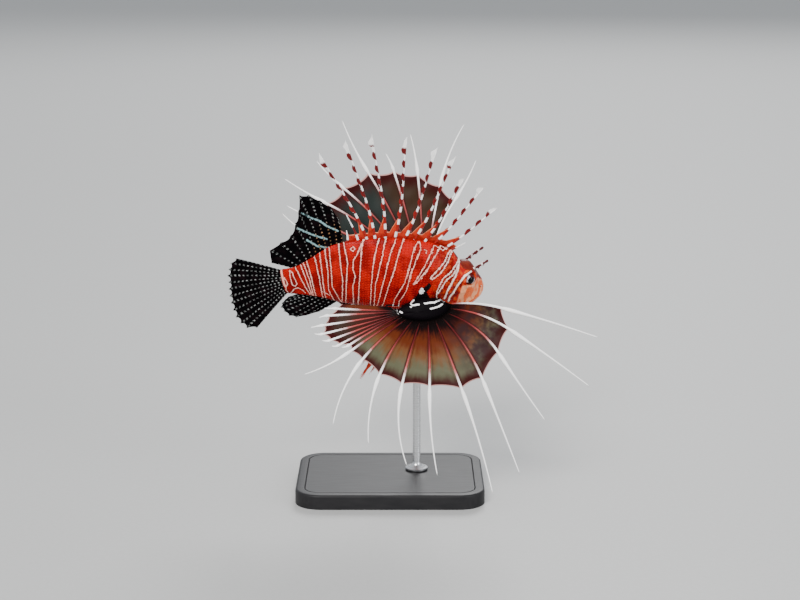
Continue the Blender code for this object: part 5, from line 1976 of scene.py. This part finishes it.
def rod():
    """A turned rod, spun from its outline. Its collar ends just inside the belly."""
    belly = skin_place(ROD_T, math.radians(180 + BANK_DEG * 0.5))
    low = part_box("stand_rod")[0].z
    outline = [(0, low), (ROD_FOOT - 0.4 * MM, low), (ROD_FOOT, low + 0.4 * MM),
               (ROD_FOOT, low + 1.3 * MM), (ROD_FOOT - 0.5 * MM, low + 1.7 * MM),
               (ROD_RADIUS + 1.4 * MM, low + 2.4 * MM), (ROD_RADIUS + 0.4 * MM, low + 3.6 * MM),
               (ROD_RADIUS, low + 5.0 * MM), (ROD_RADIUS, belly.z - 9 * MM),
               (ROD_RADIUS + 0.3 * MM, belly.z - 7 * MM), (ROD_COLLAR - 0.3 * MM, belly.z - 3 * MM),
               (ROD_COLLAR, belly.z - 2.2 * MM), (ROD_COLLAR, belly.z + 1.5 * MM),
               (0, belly.z + 1.5 * MM)]
    bm = bmesh.new()
    verts = [bm.verts.new((r, 0, z)) for r, z in outline]
    edges = [bm.edges.new(pair) for pair in zip(verts, verts[1:])]
    bmesh.ops.spin(bm, geom=verts + edges, cent=(0, 0, 0), axis=(0, 0, 1), dvec=(0, 0, 0),
                   angle=2 * math.pi, steps=ROD_STEPS, use_merge=True)
    bmesh.ops.translate(bm, vec=(belly.x, belly.y, 0), verts=bm.verts)
    return bm


stand_rod = piece("rod", rod(), turned_steel, "stand_steel", "stand_rod")
stand_rod.data.set_sharp_from_angle(angle=math.radians(40))

# %% [markdown]
# ## Floor and light
# A plain pale floor runs far back, so that no horizon cuts the picture. One large soft light
# stands above the camera's left, a weaker one fills from the right, and a third behind draws
# the edges of the fins.

# %% Floor and light
FLOOR_SIZE = 30


def floor_finish():
    finish = Finish("pale_floor", Roughness=0.6)
    specks = finish.noise(3 * MM, 4)
    finish.set("Base Color", finish.blend(specks, (0.33, 0.33, 0.325), (0.37, 0.37, 0.365)))
    return finish


floor_mesh = bpy.data.meshes.new("floor")
floor_bm = bmesh.new()
bmesh.ops.create_grid(floor_bm, x_segments=1, y_segments=1, size=FLOOR_SIZE)
floor_bm.to_mesh(floor_mesh)
floor_bm.free()
floor_mesh.materials.append(floor_finish().material)
floor = bpy.data.objects.new("floor", floor_mesh)
bpy.context.scene.collection.objects.link(floor)


def soft_light(name, place, size, watts, colour):
    """A square soft box that looks at the fish."""
    data = bpy.data.lights.new(name, "AREA")
    data.size = size
    data.energy = watts
    data.color = colour
    lamp = bpy.data.objects.new(name, data)
    bpy.context.scene.collection.objects.link(lamp)
    lamp.location = place
    lamp.rotation_euler = (middle - Vector(place)).to_track_quat("-Z", "Y").to_euler()


soft_light("key", (-1.2, -2.8, 2.8), 1.6, 250, (1.0, 0.98, 0.95))
soft_light("fill", (3.2, -2.2, 1.4), 2.0, 80, (0.95, 0.97, 1.0))
soft_light("edge", (0.5, 3.4, 2.4), 1.6, 110, (1.0, 1.0, 1.0))
world = bpy.data.worlds.new("studio")
bpy.context.scene.world = world
world.use_nodes = True
world.node_tree.nodes["Background"].inputs["Color"].default_value = (0.86, 0.90, 0.95, 1)
world.node_tree.nodes["Background"].inputs["Strength"].default_value = 0.9
